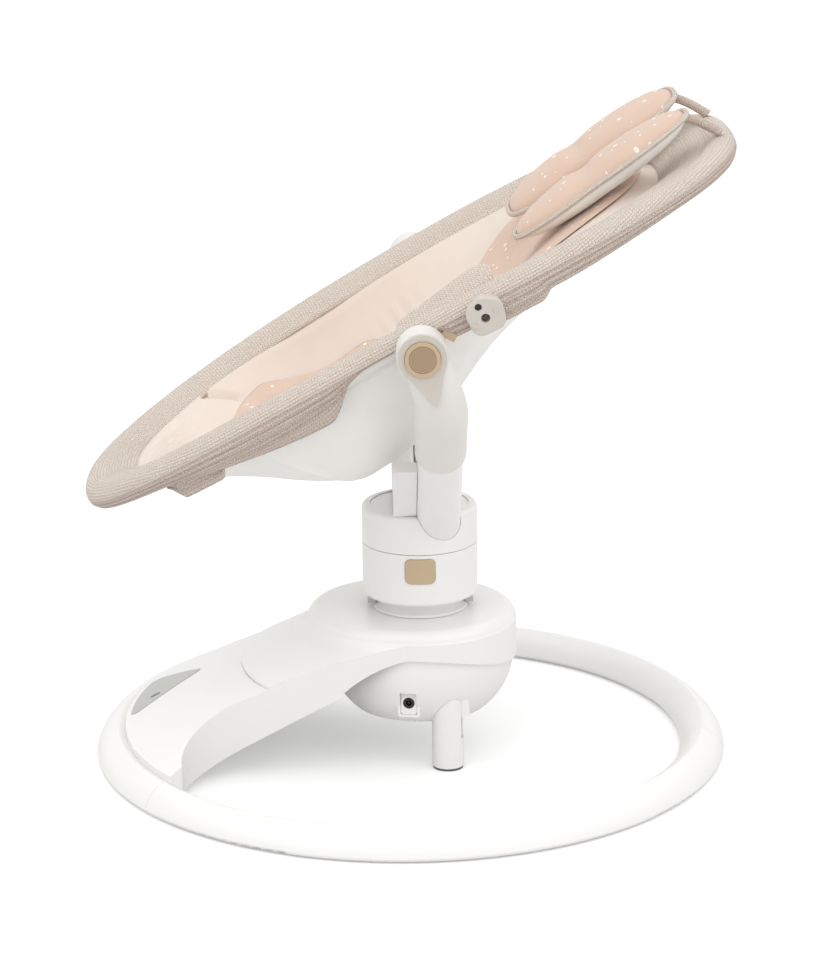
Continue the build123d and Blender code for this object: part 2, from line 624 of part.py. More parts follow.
socket = extrude(tri_plane * tri, SOCKET_OUT - socket_in)
socket = fillet(socket.faces().sort_by(Axis.Y)[0].edges(), 1.5)
screw_at = (SOCKET_X - 1.0, SOCKET_Z + 11.5)
nub_at = ((SOCKET_X - 11.5, SOCKET_Z - 2.0), (SOCKET_X + 11.5, SOCKET_Z + 2.0))
socket = socket - rod_y(SOCKET_BORE, SOCKET_X, SOCKET_Z, -socket_in + 5, -SOCKET_OUT - 5)
socket = socket - rod_y(3.2, *screw_at, -socket_in + 5, -SOCKET_OUT - 5)
for spot in nub_at:
    socket = socket + rod_y(2.2, *spot, -SOCKET_OUT + 1, -SOCKET_OUT - 0.9)
screw = rod_y(2.9, *screw_at, -socket_in, -SOCKET_OUT + 3.0)
tab = Pos(27, -joint_out + 0.5, -1) * Rot(0, -30, 0) * Box(7, 6, 13) - joint
for name, sign in (("near", 1), ("far", -1)):
    for part_name, shape in (("side_joint_", joint), ("toy_socket_", socket), ("stop_tab_", tab)):
        parts[part_name + name] = on_seat(shape if sign > 0 else mirror(shape, Plane.XZ))
parts["socket_screws"] = on_seat(group(screw, mirror(screw, Plane.XZ)))

# Soft rim cover: a padded sleeve round both hoops, cut away at the pivots
cover_face = Pos(0, -COVER_DROP) * Ellipse(COVER_HALF_W, COVER_HALF_H)
cover_head = along_hoop(hoop_path(RIM_X + 0.5), cover_face)
cover_feet = along_hoop(hoop_path(RIM_X - 0.5), cover_face)
pivot_clear = box_between((-62, RIM_B - 14, -60), (96, RIM_B + 60, RIM_Z + 15))
pivot_clear = pivot_clear + mirror(pivot_clear, Plane.XZ)
for name, shape, x in (("head", cover_head, RIM_X + 0.5), ("feet", cover_feet, RIM_X - 0.5)):
    bore = tube_place * along_hoop(hoop_path(x), Circle(TUBE_R + GAP))
    parts["rim_cover_" + name] = on_seat(shape - bore - pivot_clear)


# Bowl: sling, padded liner and insert, lofted through bowed sections

def bowl_depth(x):
    reach = 112.0 if x < BOWL_DEEPEST else 160.0
    return BOWL_RIM_DEPTH + BOWL_SAG * exp(-((x - BOWL_DEEPEST) / reach) ** 2)


def bowl_arc(x, drop, inset):
    """End points and lowest point of the bowl's section at x, in the section plane."""
    w = rim_half_width(x, COVER_HALF_W + GAP) - inset
    top = rim_height(x) - 4.0
    return w, top, -bowl_depth(x) + drop


def bowl_section(x, drop, inset, thick):
    w, top, low = bowl_arc(x, drop, inset)
    outer = ThreePointArc((-w, top), (0, low), (w, top))
    inner = ThreePointArc((w - thick, top), (0, low + thick), (-w + thick, top))
    edges = outer + Line((w, top), (w - thick, top)) + inner + Line((-w + thick, top), (-w, top))
    return Plane(origin=(x, 0, 0), x_dir=(0, 1, 0), z_dir=(1, 0, 0)) * make_face(edges)


stations = [-292, -249, -199, -149, -104, -54, 6, 76, 146, 211, 262]
notch_size = (112 + 2 * GAP, joint_out - joint_in + 2 * GAP, JOINT_H + 2 * GAP)
notch_bar = joint_bar_at * Box(*notch_size)
notch = notch_bar + rod_y(19 + GAP, 0, 0, -joint_in + GAP, -joint_out)
notch = notch + mirror(notch, Plane.XZ)
sling = loft([bowl_section(x, 0, 0, SLING_T) for x in stations])
parts["seat_sling"] = on_seat(sling - notch)
liner_in = SLING_T + GAP
liner = loft([bowl_section(x, liner_in, liner_in, LINER_T) for x in stations])
parts["seat_liner"] = on_seat(liner - notch)


def insert_section(x, share):
    lift = liner_in + LINER_T + INSERT_LIFT
    w, top, low = bowl_arc(x, lift, lift)
    rise = top - low
    radius = (w * w + rise * rise) / (2 * rise)
    centre = low + radius
    turn = share * w / radius
    inner_r = radius - INSERT_T

    def at(r, t):
        return (r * sin(t), centre - r * cos(t))

    lower = ThreePointArc(at(radius, -turn), at(radius, 0), at(radius, turn))
    upper = ThreePointArc(at(inner_r, turn * 0.94), at(inner_r, 0), at(inner_r, -turn * 0.94))
    ends = Line(at(radius, turn), at(inner_r, turn * 0.94)) + Line(at(inner_r, -turn * 0.94), at(radius, -turn))
    return Plane(origin=(x, 0, 0), x_dir=(0, 1, 0), z_dir=(1, 0, 0)) * make_face(lower + upper + ends)


insert_stations = [(-199, 0.85), (-149, 1.02), (-104, 1.08), (-54, 1.08), (6, 1.06), (76, 1.04), (146, 0.98)]
insert = loft([insert_section(x, share) for x, share in insert_stations])
parts["seat_insert"] = on_seat(insert)

# Head pillow: two raised lobes either side of the head
lobe = scale(Sphere(1), by=(PILLOW_LONG / 2, PILLOW_WIDE / 2, PILLOW_THICK / 2))
lobe = Pos(PILLOW_X, -PILLOW_Y, PILLOW_Z) * Rot(0, -7, 0) * Rot(-PILLOW_WING, 0, 0) * lobe
parts["head_pillow"] = on_seat(group(lobe, mirror(lobe, Plane.XZ)))

# Cloth straps that hold the pillow to the head end of the rim
strap_side = Polyline((301.0, 50), (303.4, 50), (309.0, 11.9), (306.0, 11.9), (301.0, 50))
strap = Pos(0, -PILLOW_Y + STRAP_W / 2, 0) * extrude(Plane.XZ * make_face(strap_side), STRAP_W)
parts["pillow_straps"] = on_seat(group(strap, mirror(strap, Plane.XZ)))

for node, shape in parts.items():
    export_step(shape, "parts/" + node + ".step")
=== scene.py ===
"""Baby swing: finishes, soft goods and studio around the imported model."""
import json
import math

import bmesh
import bpy
import numpy as np
from mathutils import Matrix, Vector, noise


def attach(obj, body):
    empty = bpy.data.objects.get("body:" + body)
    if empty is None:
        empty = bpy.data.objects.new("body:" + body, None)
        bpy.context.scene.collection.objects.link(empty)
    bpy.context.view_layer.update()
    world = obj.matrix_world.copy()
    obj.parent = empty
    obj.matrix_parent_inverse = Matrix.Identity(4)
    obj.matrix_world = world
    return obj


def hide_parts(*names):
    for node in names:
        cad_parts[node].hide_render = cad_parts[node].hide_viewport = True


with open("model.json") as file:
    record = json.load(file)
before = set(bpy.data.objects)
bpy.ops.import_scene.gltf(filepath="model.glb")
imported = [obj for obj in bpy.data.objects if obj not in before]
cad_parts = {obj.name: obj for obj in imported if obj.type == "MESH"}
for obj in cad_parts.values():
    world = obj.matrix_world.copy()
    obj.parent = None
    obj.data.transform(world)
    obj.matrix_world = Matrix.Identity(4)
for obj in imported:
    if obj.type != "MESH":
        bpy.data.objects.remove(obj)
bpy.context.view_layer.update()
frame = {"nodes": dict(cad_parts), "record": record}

bl_info = {
    "name": "Baby swing",
    "version": (1, 0, 0),
    "blender": (4, 5, 0),
    "location": "View3D > Sidebar > Swing",
    "description": "Soft goods, finishes and studio for a powered baby swing",
    "category": "Object",
}

MM = 0.001
JOINTS = {joint["name"]: joint for joint in frame["record"]["behaviour"]["joints"]}
PIVOT = Vector(JOINTS["recline"]["pos_m"])
PIVOT_AXIS = Vector(JOINTS["recline"]["axis"])
SWING_REST = math.atan2(-PIVOT_AXIS.x, PIVOT_AXIS.y)

# Camera
SENSOR = 36.0
CAMERA_AIM = Vector((1.48, 0.23, 256.5)) * MM

# Seat hoop, in the seat's own frame: x to the head, y to the far side, z out of the bowl
HOOP_MIDDLE = -14 * MM
HOOP_HALF_LENGTH = 326 * MM
HOOP_HALF_WIDTH = 165 * MM
HOOP_POWER = 2.69
HOOP_WIDER_AT_HEAD = 0.165
HOOP_HEIGHT = 13 * MM
HOOP_BOW = -13.7 * MM
STATIONS = 400

# Bowl of cloth below the hoop
BOWL_DEEPEST_AT = -108 * MM
BOWL_SAG = 88 * MM
BOWL_EDGE_DEPTH = 28 * MM
BOWL_REACH_FEET = 112 * MM
BOWL_REACH_HEAD = 160 * MM
PADDING = 15.7 * MM


class SwingSizes(bpy.types.PropertyGroup):
    """Sizes that shape the soft goods and the camera"""
    seat_tilt: bpy.props.FloatProperty(
        name="Seat tilt", description="Seat's slope at rest", default=math.radians(28.9), subtype="ANGLE")
    flange: bpy.props.FloatProperty(
        name="Flange", description="Knitted flange inside the hoop", default=24 * MM, unit="LENGTH")
    flange_head: bpy.props.FloatProperty(
        name="Head flange", description="Extra flange at the head", default=37 * MM, unit="LENGTH")
    flange_feet: bpy.props.FloatProperty(
        name="Feet flange", description="Extra flange at the feet", default=15 * MM, unit="LENGTH")
    band_drop: bpy.props.FloatProperty(
        name="Band drop", description="Side band below the hoop at its ends", default=12 * MM, unit="LENGTH")
    knit_pitch: bpy.props.FloatProperty(
        name="Knit pitch", description="Width of one knitted stitch", default=2.9 * MM, unit="LENGTH")
    pillow_length: bpy.props.FloatProperty(
        name="Pillow length", description="Length of one pillow lobe", default=188 * MM, unit="LENGTH")
    pillow_width: bpy.props.FloatProperty(
        name="Pillow width", description="Width of one pillow lobe", default=72 * MM, unit="LENGTH")
    camera_distance: bpy.props.FloatProperty(
        name="Camera distance", description="From the aim point", default=3.0, unit="LENGTH")
    camera_azimuth: bpy.props.FloatProperty(
        name="Camera azimuth", description="Round the upright axis", default=math.radians(8.7),
        subtype="ANGLE")
    camera_elevation: bpy.props.FloatProperty(
        name="Camera elevation", description="Above the horizon", default=math.radians(16.36),
        subtype="ANGLE")
    camera_roll: bpy.props.FloatProperty(
        name="Camera roll", description="About the line of sight", default=math.radians(-0.71),
        subtype="ANGLE")
    camera_lens: bpy.props.FloatProperty(
        name="Lens", description="Focal length in millimetres", default=118.47)


def colour(name, description, value):
    """A colour property."""
    return bpy.props.FloatVectorProperty(name=name, description=description, default=value, size=3,
                                         min=0.0, max=1.0, subtype="COLOR")


class SwingColours(bpy.types.PropertyGroup):
    """Base colours of the finishes"""
    shell: colour("Shell", "White moulded shells and enamelled tube", (0.875, 0.868, 0.852))
    sleeve: colour("Sleeve", "Pale grey sleeves and sockets", (0.78, 0.75, 0.71))
    plate: colour("Plate", "Grey face plates and joints", (0.60, 0.555, 0.50))
    panel: colour("Panel", "Grey touch panel", (0.47, 0.47, 0.44))
    tab: colour("Square button", "Tan buttons of the turret", (0.56, 0.42, 0.27))
    button: colour("Round button", "Tan buttons of the pivots", (0.38, 0.26, 0.165))
    # The window and inlet are dark themselves; on the holes the near-black is painted shade.
    dark: colour("Dark", "Windows, inlet and holes", (0.02, 0.02, 0.022))
    knit: colour("Knit", "Melange knit of the hoop cover", (0.94, 0.775, 0.675))
    lining: colour("Lining", "Smooth lining of the bowl", (0.79, 0.69, 0.61))
    plush: colour("Plush", "Insert and pillow", (0.71, 0.53, 0.425))
    print: colour("Print", "Dots of the insert and pillow", (0.92, 0.83, 0.75))
    sling: colour("Sling", "White underside", (0.92, 0.90, 0.87))
    metal: colour("Metal", "Grey enamel and zinc", (0.55, 0.55, 0.54))
    rubber: colour("Rubber", "Feet", (0.12, 0.12, 0.12))


def sizes():
    return bpy.context.scene.swing_sizes


def colours():
    return bpy.context.scene.swing_colours


# Seat geometry

def seat_frame():
    """The seat's own frame in the row frame."""
    turn = Matrix.Rotation(SWING_REST, 4, "Z")
    tilt = Matrix.Rotation(-sizes().seat_tilt, 4, "Y")
    return Matrix.Translation(PIVOT) @ turn @ tilt


class Hoop:
    """The seat's hoop, walked at even steps from the head by the far side to the feet and back."""

    def __init__(self, count=STATIONS):
        dense = np.linspace(0.0, 2.0 * math.pi, 8001)
        power = 2.0 / HOOP_POWER
        c, s = np.cos(dense), np.sin(dense)
        along = np.sign(c) * np.abs(c) ** power
        side = np.sign(s) * np.abs(s) ** power
        x = HOOP_MIDDLE + HOOP_HALF_LENGTH * along
        y = HOOP_HALF_WIDTH * (1 + HOOP_WIDER_AT_HEAD * along) * side
        run = np.concatenate([[0.0], np.cumsum(np.hypot(np.diff(x), np.diff(y)))])
        self.length = float(run[-1])
        self.run = np.linspace(0.0, self.length, count + 1)
        self.x = np.interp(self.run, run, x)
        self.y = np.interp(self.run, run, y)
        self.x[-1], self.y[-1] = self.x[0], self.y[0]
        step_x = np.roll(self.x[:-1], -1) - np.roll(self.x[:-1], 1)
        step_y = np.roll(self.y[:-1], -1) - np.roll(self.y[:-1], 1)
        size = np.hypot(step_x, step_y)
        self.nx = np.append(step_y / size, (step_y / size)[0])
        self.ny = np.append(-step_x / size, (-step_x / size)[0])
        self.z = HOOP_HEIGHT + HOOP_BOW * ((self.x - HOOP_MIDDLE) / HOOP_HALF_LENGTH) ** 2

    def place(self, k, out, up):
        """A point beside station k, by its distance outwards and up."""
        return Vector((self.x[k] + self.nx[k] * out, self.y[k] + self.ny[k] * out, self.z[k] + up))


def smooth_step(low, high, value):
    t = min(1.0, max(0.0, (value - low) / (high - low)))
    return t * t * (3 - 2 * t)


def bump_at(value, centre, reach):
    """A soft hump of height 1."""
    return math.exp(-((value - centre) / reach) ** 2)


def bowl_depth(x):
    reach = BOWL_REACH_FEET if x < BOWL_DEEPEST_AT else BOWL_REACH_HEAD
    return BOWL_EDGE_DEPTH + BOWL_SAG * bump_at(x, BOWL_DEEPEST_AT, reach)


class Bowl:
    """A bowl of cloth whose edge lies inside the hoop and whose cross sections are arcs."""

    def __init__(self, hoop, inset, edge_drop, lift):
        count = len(hoop.run)
        self.edge = [hoop.place(k, -inset(hoop.x[k]), -edge_drop) for k in range(count)]
        half = self.edge[: count // 2 + 1]
        order = sorted(range(len(half)), key=lambda k: half[k].x)
        self.xs = np.array([half[k].x for k in order])
        self.ys = np.array([max(0.0, half[k].y) for k in order])
        self.zs = np.array([half[k].z for k in order])
        self.low, self.high = self.xs[0], self.xs[-1]
        self.lift = lift

    def half_width(self, x):
        return float(np.interp(x, self.xs, self.ys))

    def height(self, x, y):
        """Height of the cloth over a point of the seat's plane."""
        middle = (self.low + self.high) / 2
        share = min(1.0, abs((x - middle) / ((self.high - self.low) / 2)))
        edge = float(np.interp(x, self.xs, self.zs))
        sag = (edge + bowl_depth(x) - self.lift(x)) * math.sqrt(max(0.0, 1 - share ** 4))
        width = max(self.half_width(x), 1e-6)
        sag = min(sag, 0.98 * width)
        if sag < 1e-5:
            return edge
        radius = (width * width + sag * sag) / (2 * sag)
        reach = min(abs(y), width)
        return edge - sag + radius - math.sqrt(radius * radius - reach * reach)

    def point(self, x, y):
        return Vector((x, y, self.height(x, y)))

    def normal(self, x, y, step=2 * MM):
        """Unit normal of the cloth, out of the bowl."""
        dx = (self.height(x + step, y) - self.height(x - step, y)) / (2 * step)
        dy = (self.height(x, y + step) - self.height(x, y - step)) / (2 * step)
        return Vector((-dx, -dy, 1)).normalized()


def liner_inset(x):
    size = sizes()
    head = smooth_step(120 * MM, 300 * MM, x)
    feet = smooth_step(200 * MM, 330 * MM, -x)
    return size.flange + size.flange_head * head + size.flange_feet * feet


# Mesh helpers

WELD = 1e-5
SWELL_FRAMES = 20


def skin(name, rows, uvs):
    """A quad mesh over rows of points in the seat's frame, with a cloth map in metres."""
    to_row = seat_frame()
    width = len(rows[0])
    verts = [to_row @ point for row in rows for point in row]
    faces = []
    for i in range(len(rows) - 1):
        for j in range(width - 1):
            a = i * width + j
            faces.append((a, a + width, a + width + 1, a + 1))
    mesh = bpy.data.meshes.new(name)
    mesh.from_pydata(verts, [], faces)
    layer = mesh.uv_layers.new(name="cloth")
    flat = [uv for row in uvs for uv in row]
    for loop in mesh.loops:
        layer.data[loop.index].uv = flat[loop.vertex_index]
    edit = bmesh.new()
    edit.from_mesh(mesh)
    bmesh.ops.remove_doubles(edit, verts=edit.verts, dist=WELD)
    bmesh.ops.recalc_face_normals(edit, faces=edit.faces)
    edit.to_mesh(mesh)
    edit.free()
    return put(name, mesh)


def put(name, mesh):
    """A smooth-shaded object of that mesh."""
    for polygon in mesh.polygons:
        polygon.use_smooth = True
    obj = bpy.data.objects.new(name, mesh)
    bpy.context.scene.collection.objects.link(obj)
    return obj


def finish_piece(obj, material, body="seat", replaces=()):
    """Gives a piece its finish and the body it rides on."""
    obj.data.materials.clear()
    obj.data.materials.append(material)
    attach(obj, body)
    if replaces:
        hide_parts(*replaces)
    return obj


def thicken(obj, thickness, offset=-1.0):
    """Turns an open cloth into a closed one of that thickness."""
    solid = obj.modifiers.new("thickness", "SOLIDIFY")
    solid.thickness = thickness
    solid.offset = offset
    solid.use_even_offset = False
    apply_modifiers(obj)
    return obj


def apply_modifiers(obj):
    """Bakes an object's modifiers into its mesh."""
    graph = bpy.context.evaluated_depsgraph_get()
    mesh = bpy.data.meshes.new_from_object(obj.evaluated_get(graph), depsgraph=graph)
    old = obj.data
    obj.modifiers.clear()
    obj.data = mesh
    bpy.data.meshes.remove(old)
    for polygon in mesh.polygons:
        polygon.use_smooth = True


def inflate(obj, pressure, reach, held):
    """Swells a closed cloth by air pressure; held vertices stay, and none moves further than reach."""
    rest = [vertex.co.copy() for vertex in obj.data.vertices]
    seam = obj.vertex_groups.new(name="held")
    seam.add(held, 1.0, "REPLACE")
    cloth = obj.modifiers.new("swell", "CLOTH")
    settings = cloth.settings
    settings.quality = 5
    settings.mass = 0.15
    settings.tension_stiffness = 6
    settings.compression_stiffness = 6
    settings.shear_stiffness = 3
    settings.bending_stiffness = 0.1
    settings.use_pressure = True
    settings.uniform_pressure_force = pressure
    settings.vertex_group_mass = "held"
    settings.effector_weights.gravity = 0
    cloth.collision_settings.use_collision = False
    cloth.point_cache.frame_start = 1
    cloth.point_cache.frame_end = SWELL_FRAMES
    scene = bpy.context.scene
    for step in range(1, SWELL_FRAMES + 1):
        scene.frame_set(step)
    swollen = obj.evaluated_get(bpy.context.evaluated_depsgraph_get())
    moved = [vertex.co.copy() for vertex in swollen.data.vertices]
    obj.modifiers.clear()
    obj.vertex_groups.clear()
    scene.frame_set(1)
    for vertex, start, end in zip(obj.data.vertices, rest, moved):
        step = end - start
        vertex.co = start + step * min(1.0, reach / max(step.length, 1e-9))


def smooth_mesh(obj, levels=1):
    """Subdivides a piece once its form is fixed."""
    subdivision = obj.modifiers.new("smooth", "SUBSURF")
    subdivision.levels = levels
    subdivision.render_levels = levels
    apply_modifiers(obj)


def tube(name, path, radius, sides=10, closed=False):
    """A round cord along a path in the seat's frame."""
    count = len(path)
    rows, uvs = [], []
    run = 0.0
    for i in range(count + (1 if closed else 0)):
        k = i % count
        before = path[(k - 1) % count] if closed or k > 0 else path[k]
        after = path[(k + 1) % count] if closed or k < count - 1 else path[k]
        ahead = (after - before).normalized()
        side = ahead.cross(Vector((0, 0, 1)))
        side = side.normalized() if side.length > 1e-6 else Vector((1, 0, 0))
        up = side.cross(ahead)
        if i > 0:
            run += (path[k] - path[(i - 1) % count]).length
        turn = [2 * math.pi * j / sides for j in range(sides + 1)]
        rows.append([path[k] + radius * (math.cos(t) * side + math.sin(t) * up) for t in turn])
        uvs.append([(run, radius * t) for t in turn])
    return skin(name, rows, uvs)


# Shader groups

def group(name, inputs, outputs):
    """An empty shader node group with named sockets."""
    tree = bpy.data.node_groups.new(name, "ShaderNodeTree")
    for label, kind, value in inputs:
        socket = tree.interface.new_socket(label, in_out="INPUT", socket_type=kind)
        if value is not None:
            socket.default_value = value
    for label, kind in outputs:
        tree.interface.new_socket(label, in_out="OUTPUT", socket_type=kind)
    return tree, tree.nodes.new("NodeGroupInput"), tree.nodes.new("NodeGroupOutput")


class Wires:
    """Short calls that add and join nodes in one tree."""

    def __init__(self, tree):
        self.tree = tree

    def node(self, kind, **settings):
        made = self.tree.nodes.new(kind)
        for key, value in settings.items():
            setattr(made, key, value)
        return made

    def join(self, value, socket):
        if hasattr(value, "is_output"):
            self.tree.links.new(value, socket)
        else:
            socket.default_value = value

    def math(self, operation, a, b=None, c=None):
        made = self.node("ShaderNodeMath", operation=operation)
        for value, socket in zip((a, b, c), made.inputs):
            if value is not None:
                self.join(value, socket)
        return made.outputs[0]

    def mix(self, factor, a, b):
        """Mixes two colours."""
        made = self.node("ShaderNodeMix", data_type="RGBA")
        self.join(factor, made.inputs["Factor"])
        self.join(a, made.inputs[6])
        self.join(b, made.inputs[7])
        return made.outputs[2]

    def noise(self, vector, scale, detail=2.0):
        made = self.node("ShaderNodeTexNoise")
        self.join(vector, made.inputs["Vector"])
        self.join(scale, made.inputs["Scale"])
        made.inputs["Detail"].default_value = detail
        return made.outputs["Fac"]

    def split(self, vector):
        made = self.node("ShaderNodeSeparateXYZ")
        self.join(vector, made.inputs[0])
        return made.outputs

    def ramp(self, value, low, high, to_low=0.0, to_high=1.0):
        made = self.node("ShaderNodeMapRange", clamp=True)
        self.join(value, made.inputs["Value"])
        for label, number in (("From Min", low), ("From Max", high), ("To Min", to_low), ("To Max", to_high)):
            self.join(number, made.inputs[label])
        return made.outputs[0]


def knit_group():
    """Rows of slanted stitches: height for the bump, and painted shade that darkens the gaps between them."""
    tree, given, made = group(
        "knit stitches",
        [("Cloth", "NodeSocketVector", None), ("Pitch", "NodeSocketFloat", 0.0026),
         ("Slant", "NodeSocketFloat", 0.8)],
        [("Height", "NodeSocketFloat"), ("PaintedGapShade", "NodeSocketFloat")])
    w = Wires(tree)
    u, v, _ = w.split(given.outputs["Cloth"])
    column = w.math("DIVIDE", u, given.outputs["Pitch"])
    row = w.math("DIVIDE", v, given.outputs["Pitch"])
    fold = w.math("PINGPONG", column, 0.5)
    lean = w.math("MULTIPLY", fold, given.outputs["Slant"])
    wobble = w.math("MULTIPLY", w.noise(given.outputs["Cloth"], 240.0), 0.5)
    phase = w.math("ADD", w.math("ADD", row, lean), wobble)
    stitch = w.math("SINE", w.math("MULTIPLY", phase, 2 * math.pi))
    seam = w.ramp(fold, 0.0, 0.12)
    rise = w.math("MULTIPLY", w.ramp(stitch, -1.0, 0.9), seam)
    w.join(rise, made.inputs["Height"])
    # Painted shade: the gaps between stitches, where the relief is lowest, get the most darkening.
    w.join(w.ramp(rise, 0.0, 0.55, 1.0, 0.0), made.inputs["PaintedGapShade"])
    return tree


def melange_group():
    """Yarn of mixed fibres: a slow and a fine change of shade."""
    tree, given, made = group(
        "melange yarn",
        [("Cloth", "NodeSocketVector", None), ("Fine", "NodeSocketFloat", 420.0)],
        [("Shade", "NodeSocketFloat")])
    w = Wires(tree)
    fine = w.noise(given.outputs["Cloth"], given.outputs["Fine"], 3.0)
    slow = w.noise(given.outputs["Cloth"], 18.0, 2.0)
    w.join(w.math("MULTIPLY_ADD", slow, 0.35, w.math("MULTIPLY", fine, 0.65)), made.inputs["Shade"])
    return tree


def jersey_group():
    """Fine plain cloth: faint threads and soft creases; the crease height also gives a painted shade, darker
    in the hollows.
    """
    tree, given, made = group(
        "jersey threads",
        [("Cloth", "NodeSocketVector", None), ("Thread", "NodeSocketFloat", 0.0009)],
        [("Height", "NodeSocketFloat"), ("Shade", "NodeSocketFloat")])
    w = Wires(tree)
    u, v, _ = w.split(given.outputs["Cloth"])
    across = w.math("SINE", w.math("MULTIPLY", w.math("DIVIDE", u, given.outputs["Thread"]), 2 * math.pi))
    down = w.math("SINE", w.math("MULTIPLY", w.math("DIVIDE", v, given.outputs["Thread"]), 2 * math.pi))
    weave = w.math("MULTIPLY", across, down)
    crease = w.noise(given.outputs["Cloth"], 26.0, 4.0)
    w.join(w.math("MULTIPLY_ADD", crease, 3.0, w.math("MULTIPLY", weave, 0.25)), made.inputs["Height"])
    # Painted shade: the colour follows the crease height, darker in the hollows and lighter on the ridges.
    w.join(crease, made.inputs["Shade"])
    return tree


def dots_group():
    """A loose scatter of small round dots of several sizes."""
    tree, given, made = group(
        "scattered dots",
        [("Cloth", "NodeSocketVector", None), ("Spacing", "NodeSocketFloat", 0.014)],
        [("Mask", "NodeSocketFloat")])
    w = Wires(tree)
    cells = w.node("ShaderNodeTexVoronoi", voronoi_dimensions="2D")
    w.join(given.outputs["Cloth"], cells.inputs["Vector"])
    w.join(w.math("DIVIDE", 1.0, given.outputs["Spacing"]), cells.inputs["Scale"])
    cells.inputs["Randomness"].default_value = 0.85
    chance = w.node("ShaderNodeSeparateColor")
    w.join(cells.outputs["Color"], chance.inputs[0])
    reach = w.ramp(chance.outputs[0], 0.25, 1.0, 0.0, 0.15)
    inside = w.math("SUBTRACT", reach, cells.outputs["Distance"])
    w.join(w.ramp(inside, -0.01, 0.015), made.inputs["Mask"])
    return tree


def mould_group():
    """Moulded plastic: a fine grain, and a slow change of gloss."""
    tree, given, made = group(
        "mould grain",
        [("Place", "NodeSocketVector", None), ("Grain", "NodeSocketFloat", 900.0),
         ("Smooth", "NodeSocketFloat", 0.25), ("Dull", "NodeSocketFloat", 0.4)],
        [("Height", "NodeSocketFloat"), ("Roughness", "NodeSocketFloat"), ("Shade", "NodeSocketFloat")])
    w = Wires(tree)
    fine = w.noise(given.outputs["Place"], given.outputs["Grain"], 2.0)
    slow = w.noise(given.outputs["Place"], 7.0, 3.0)
    w.join(fine, made.inputs["Height"])
    w.join(w.ramp(slow, 0.3, 0.7, given.outputs["Smooth"], given.outputs["Dull"]), made.inputs["Roughness"])
    w.join(slow, made.inputs["Shade"])
    return tree


GROUPS = {}


def effect(name, maker):
    """A shader group, built once."""
    if name not in GROUPS:
        GROUPS[name] = maker()
    return GROUPS[name]


# Materials

def shade(tone, factor):
    """A colour made darker or lighter."""
    return tuple(min(1.0, channel * factor) for channel in tone) + (1.0,)


class Finish:
    """A material with its Principled shader at hand."""

    def __init__(self, name):
        self.material = bpy.data.materials.new(name)
        self.material.use_nodes = True
        self.wires = Wires(self.material.node_tree)
        self.shader = self.material.node_tree.nodes["Principled BSDF"]
        coordinates = self.wires.node("ShaderNodeTexCoord")
        self.cloth = coordinates.outputs["UV"]
        self.place = coordinates.outputs["Object"]

    def use(self, tree, **values):
        made = self.wires.node("ShaderNodeGroup", node_tree=tree)
        for label, value in values.items():
            self.wires.join(value, made.inputs[label])
        return made.outputs

    def set(self, **values):
        for label, value in values.items():
            self.shader.inputs[label.replace("_", " ")].default_value = value

    def bump(self, height, strength, distance):
        made = self.wires.node("ShaderNodeBump")
        made.inputs["Strength"].default_value = strength
        made.inputs["Distance"].default_value = distance
        self.wires.join(height, made.inputs["Height"])
        self.wires.join(made.outputs[0], self.shader.inputs["Normal"])

    def colour(self, value):
        self.wires.join(value, self.shader.inputs["Base Color"])

    def rough(self, value):
        self.wires.join(value, self.shader.inputs["Roughness"])


def plastic(name, tone, smooth, dull, grain=900.0, strength=0.05, metallic=0.0, coat=0.0):
    """Moulded plastic or enamel."""
    made = Finish(name)
    grains = made.use(effect("mould", mould_group), Place=made.place, Grain=grain, Smooth=smooth, Dull=dull)
    made.colour(made.wires.mix(grains["Shade"], shade(tone, 0.97), shade(tone, 1.02)))
    made.rough(grains["Roughness"])
    made.bump(grains["Height"], strength, 0.2 * MM)
    made.set(Metallic=metallic, Coat_Weight=coat)
    return made.material


def two_tone(name, ring, middle, reach):
    """Moulded button: a paler ring round a darker middle, by the distance from the pivot's axis."""
    made = Finish(name)
    w = made.wires
    from_pivot = w.node("ShaderNodeVectorMath", operation="SUBTRACT")
    w.join(made.place, from_pivot.inputs[0])
    w.join(PIVOT, from_pivot.inputs[1])
    across = w.node("ShaderNodeVectorMath", operation="CROSS_PRODUCT")
    w.join(from_pivot.outputs[0], across.inputs[0])
    w.join(PIVOT_AXIS, across.inputs[1])
    distance = w.node("ShaderNodeVectorMath", operation="LENGTH")
    w.join(across.outputs[0], distance.inputs[0])
    edge = w.ramp(distance.outputs["Value"], reach - 0.3 * MM, reach + 0.3 * MM)
    made.colour(w.mix(edge, shade(middle, 1.0), shade(ring, 1.0)))
    made.set(Roughness=0.42)
    return made.material


def knit(name, tone, pitch, slant, depth):
    """Coarse melange knit, darkened in the gaps between stitches as painted shade."""
    made = Finish(name)
    stitches = made.use(effect("knit", knit_group), Cloth=made.cloth, Pitch=pitch, Slant=slant)
    yarn = made.use(effect("melange", melange_group), Cloth=made.cloth)
    body = made.wires.mix(yarn["Shade"], shade(tone, 0.84), shade(tone, 1.2))
    # Painted shade: the colour falls toward a darker copy of the tone in the gaps between stitches.
    made.colour(made.wires.mix(made.wires.math("MULTIPLY", stitches["PaintedGapShade"], 0.6), body, shade(tone, 0.66)))
    made.bump(stitches["Height"], 1.0, depth)
    made.set(Roughness=0.95, Sheen_Weight=0.25, Sheen_Roughness=0.5, Specular_IOR_Level=0.15)
    return made.material


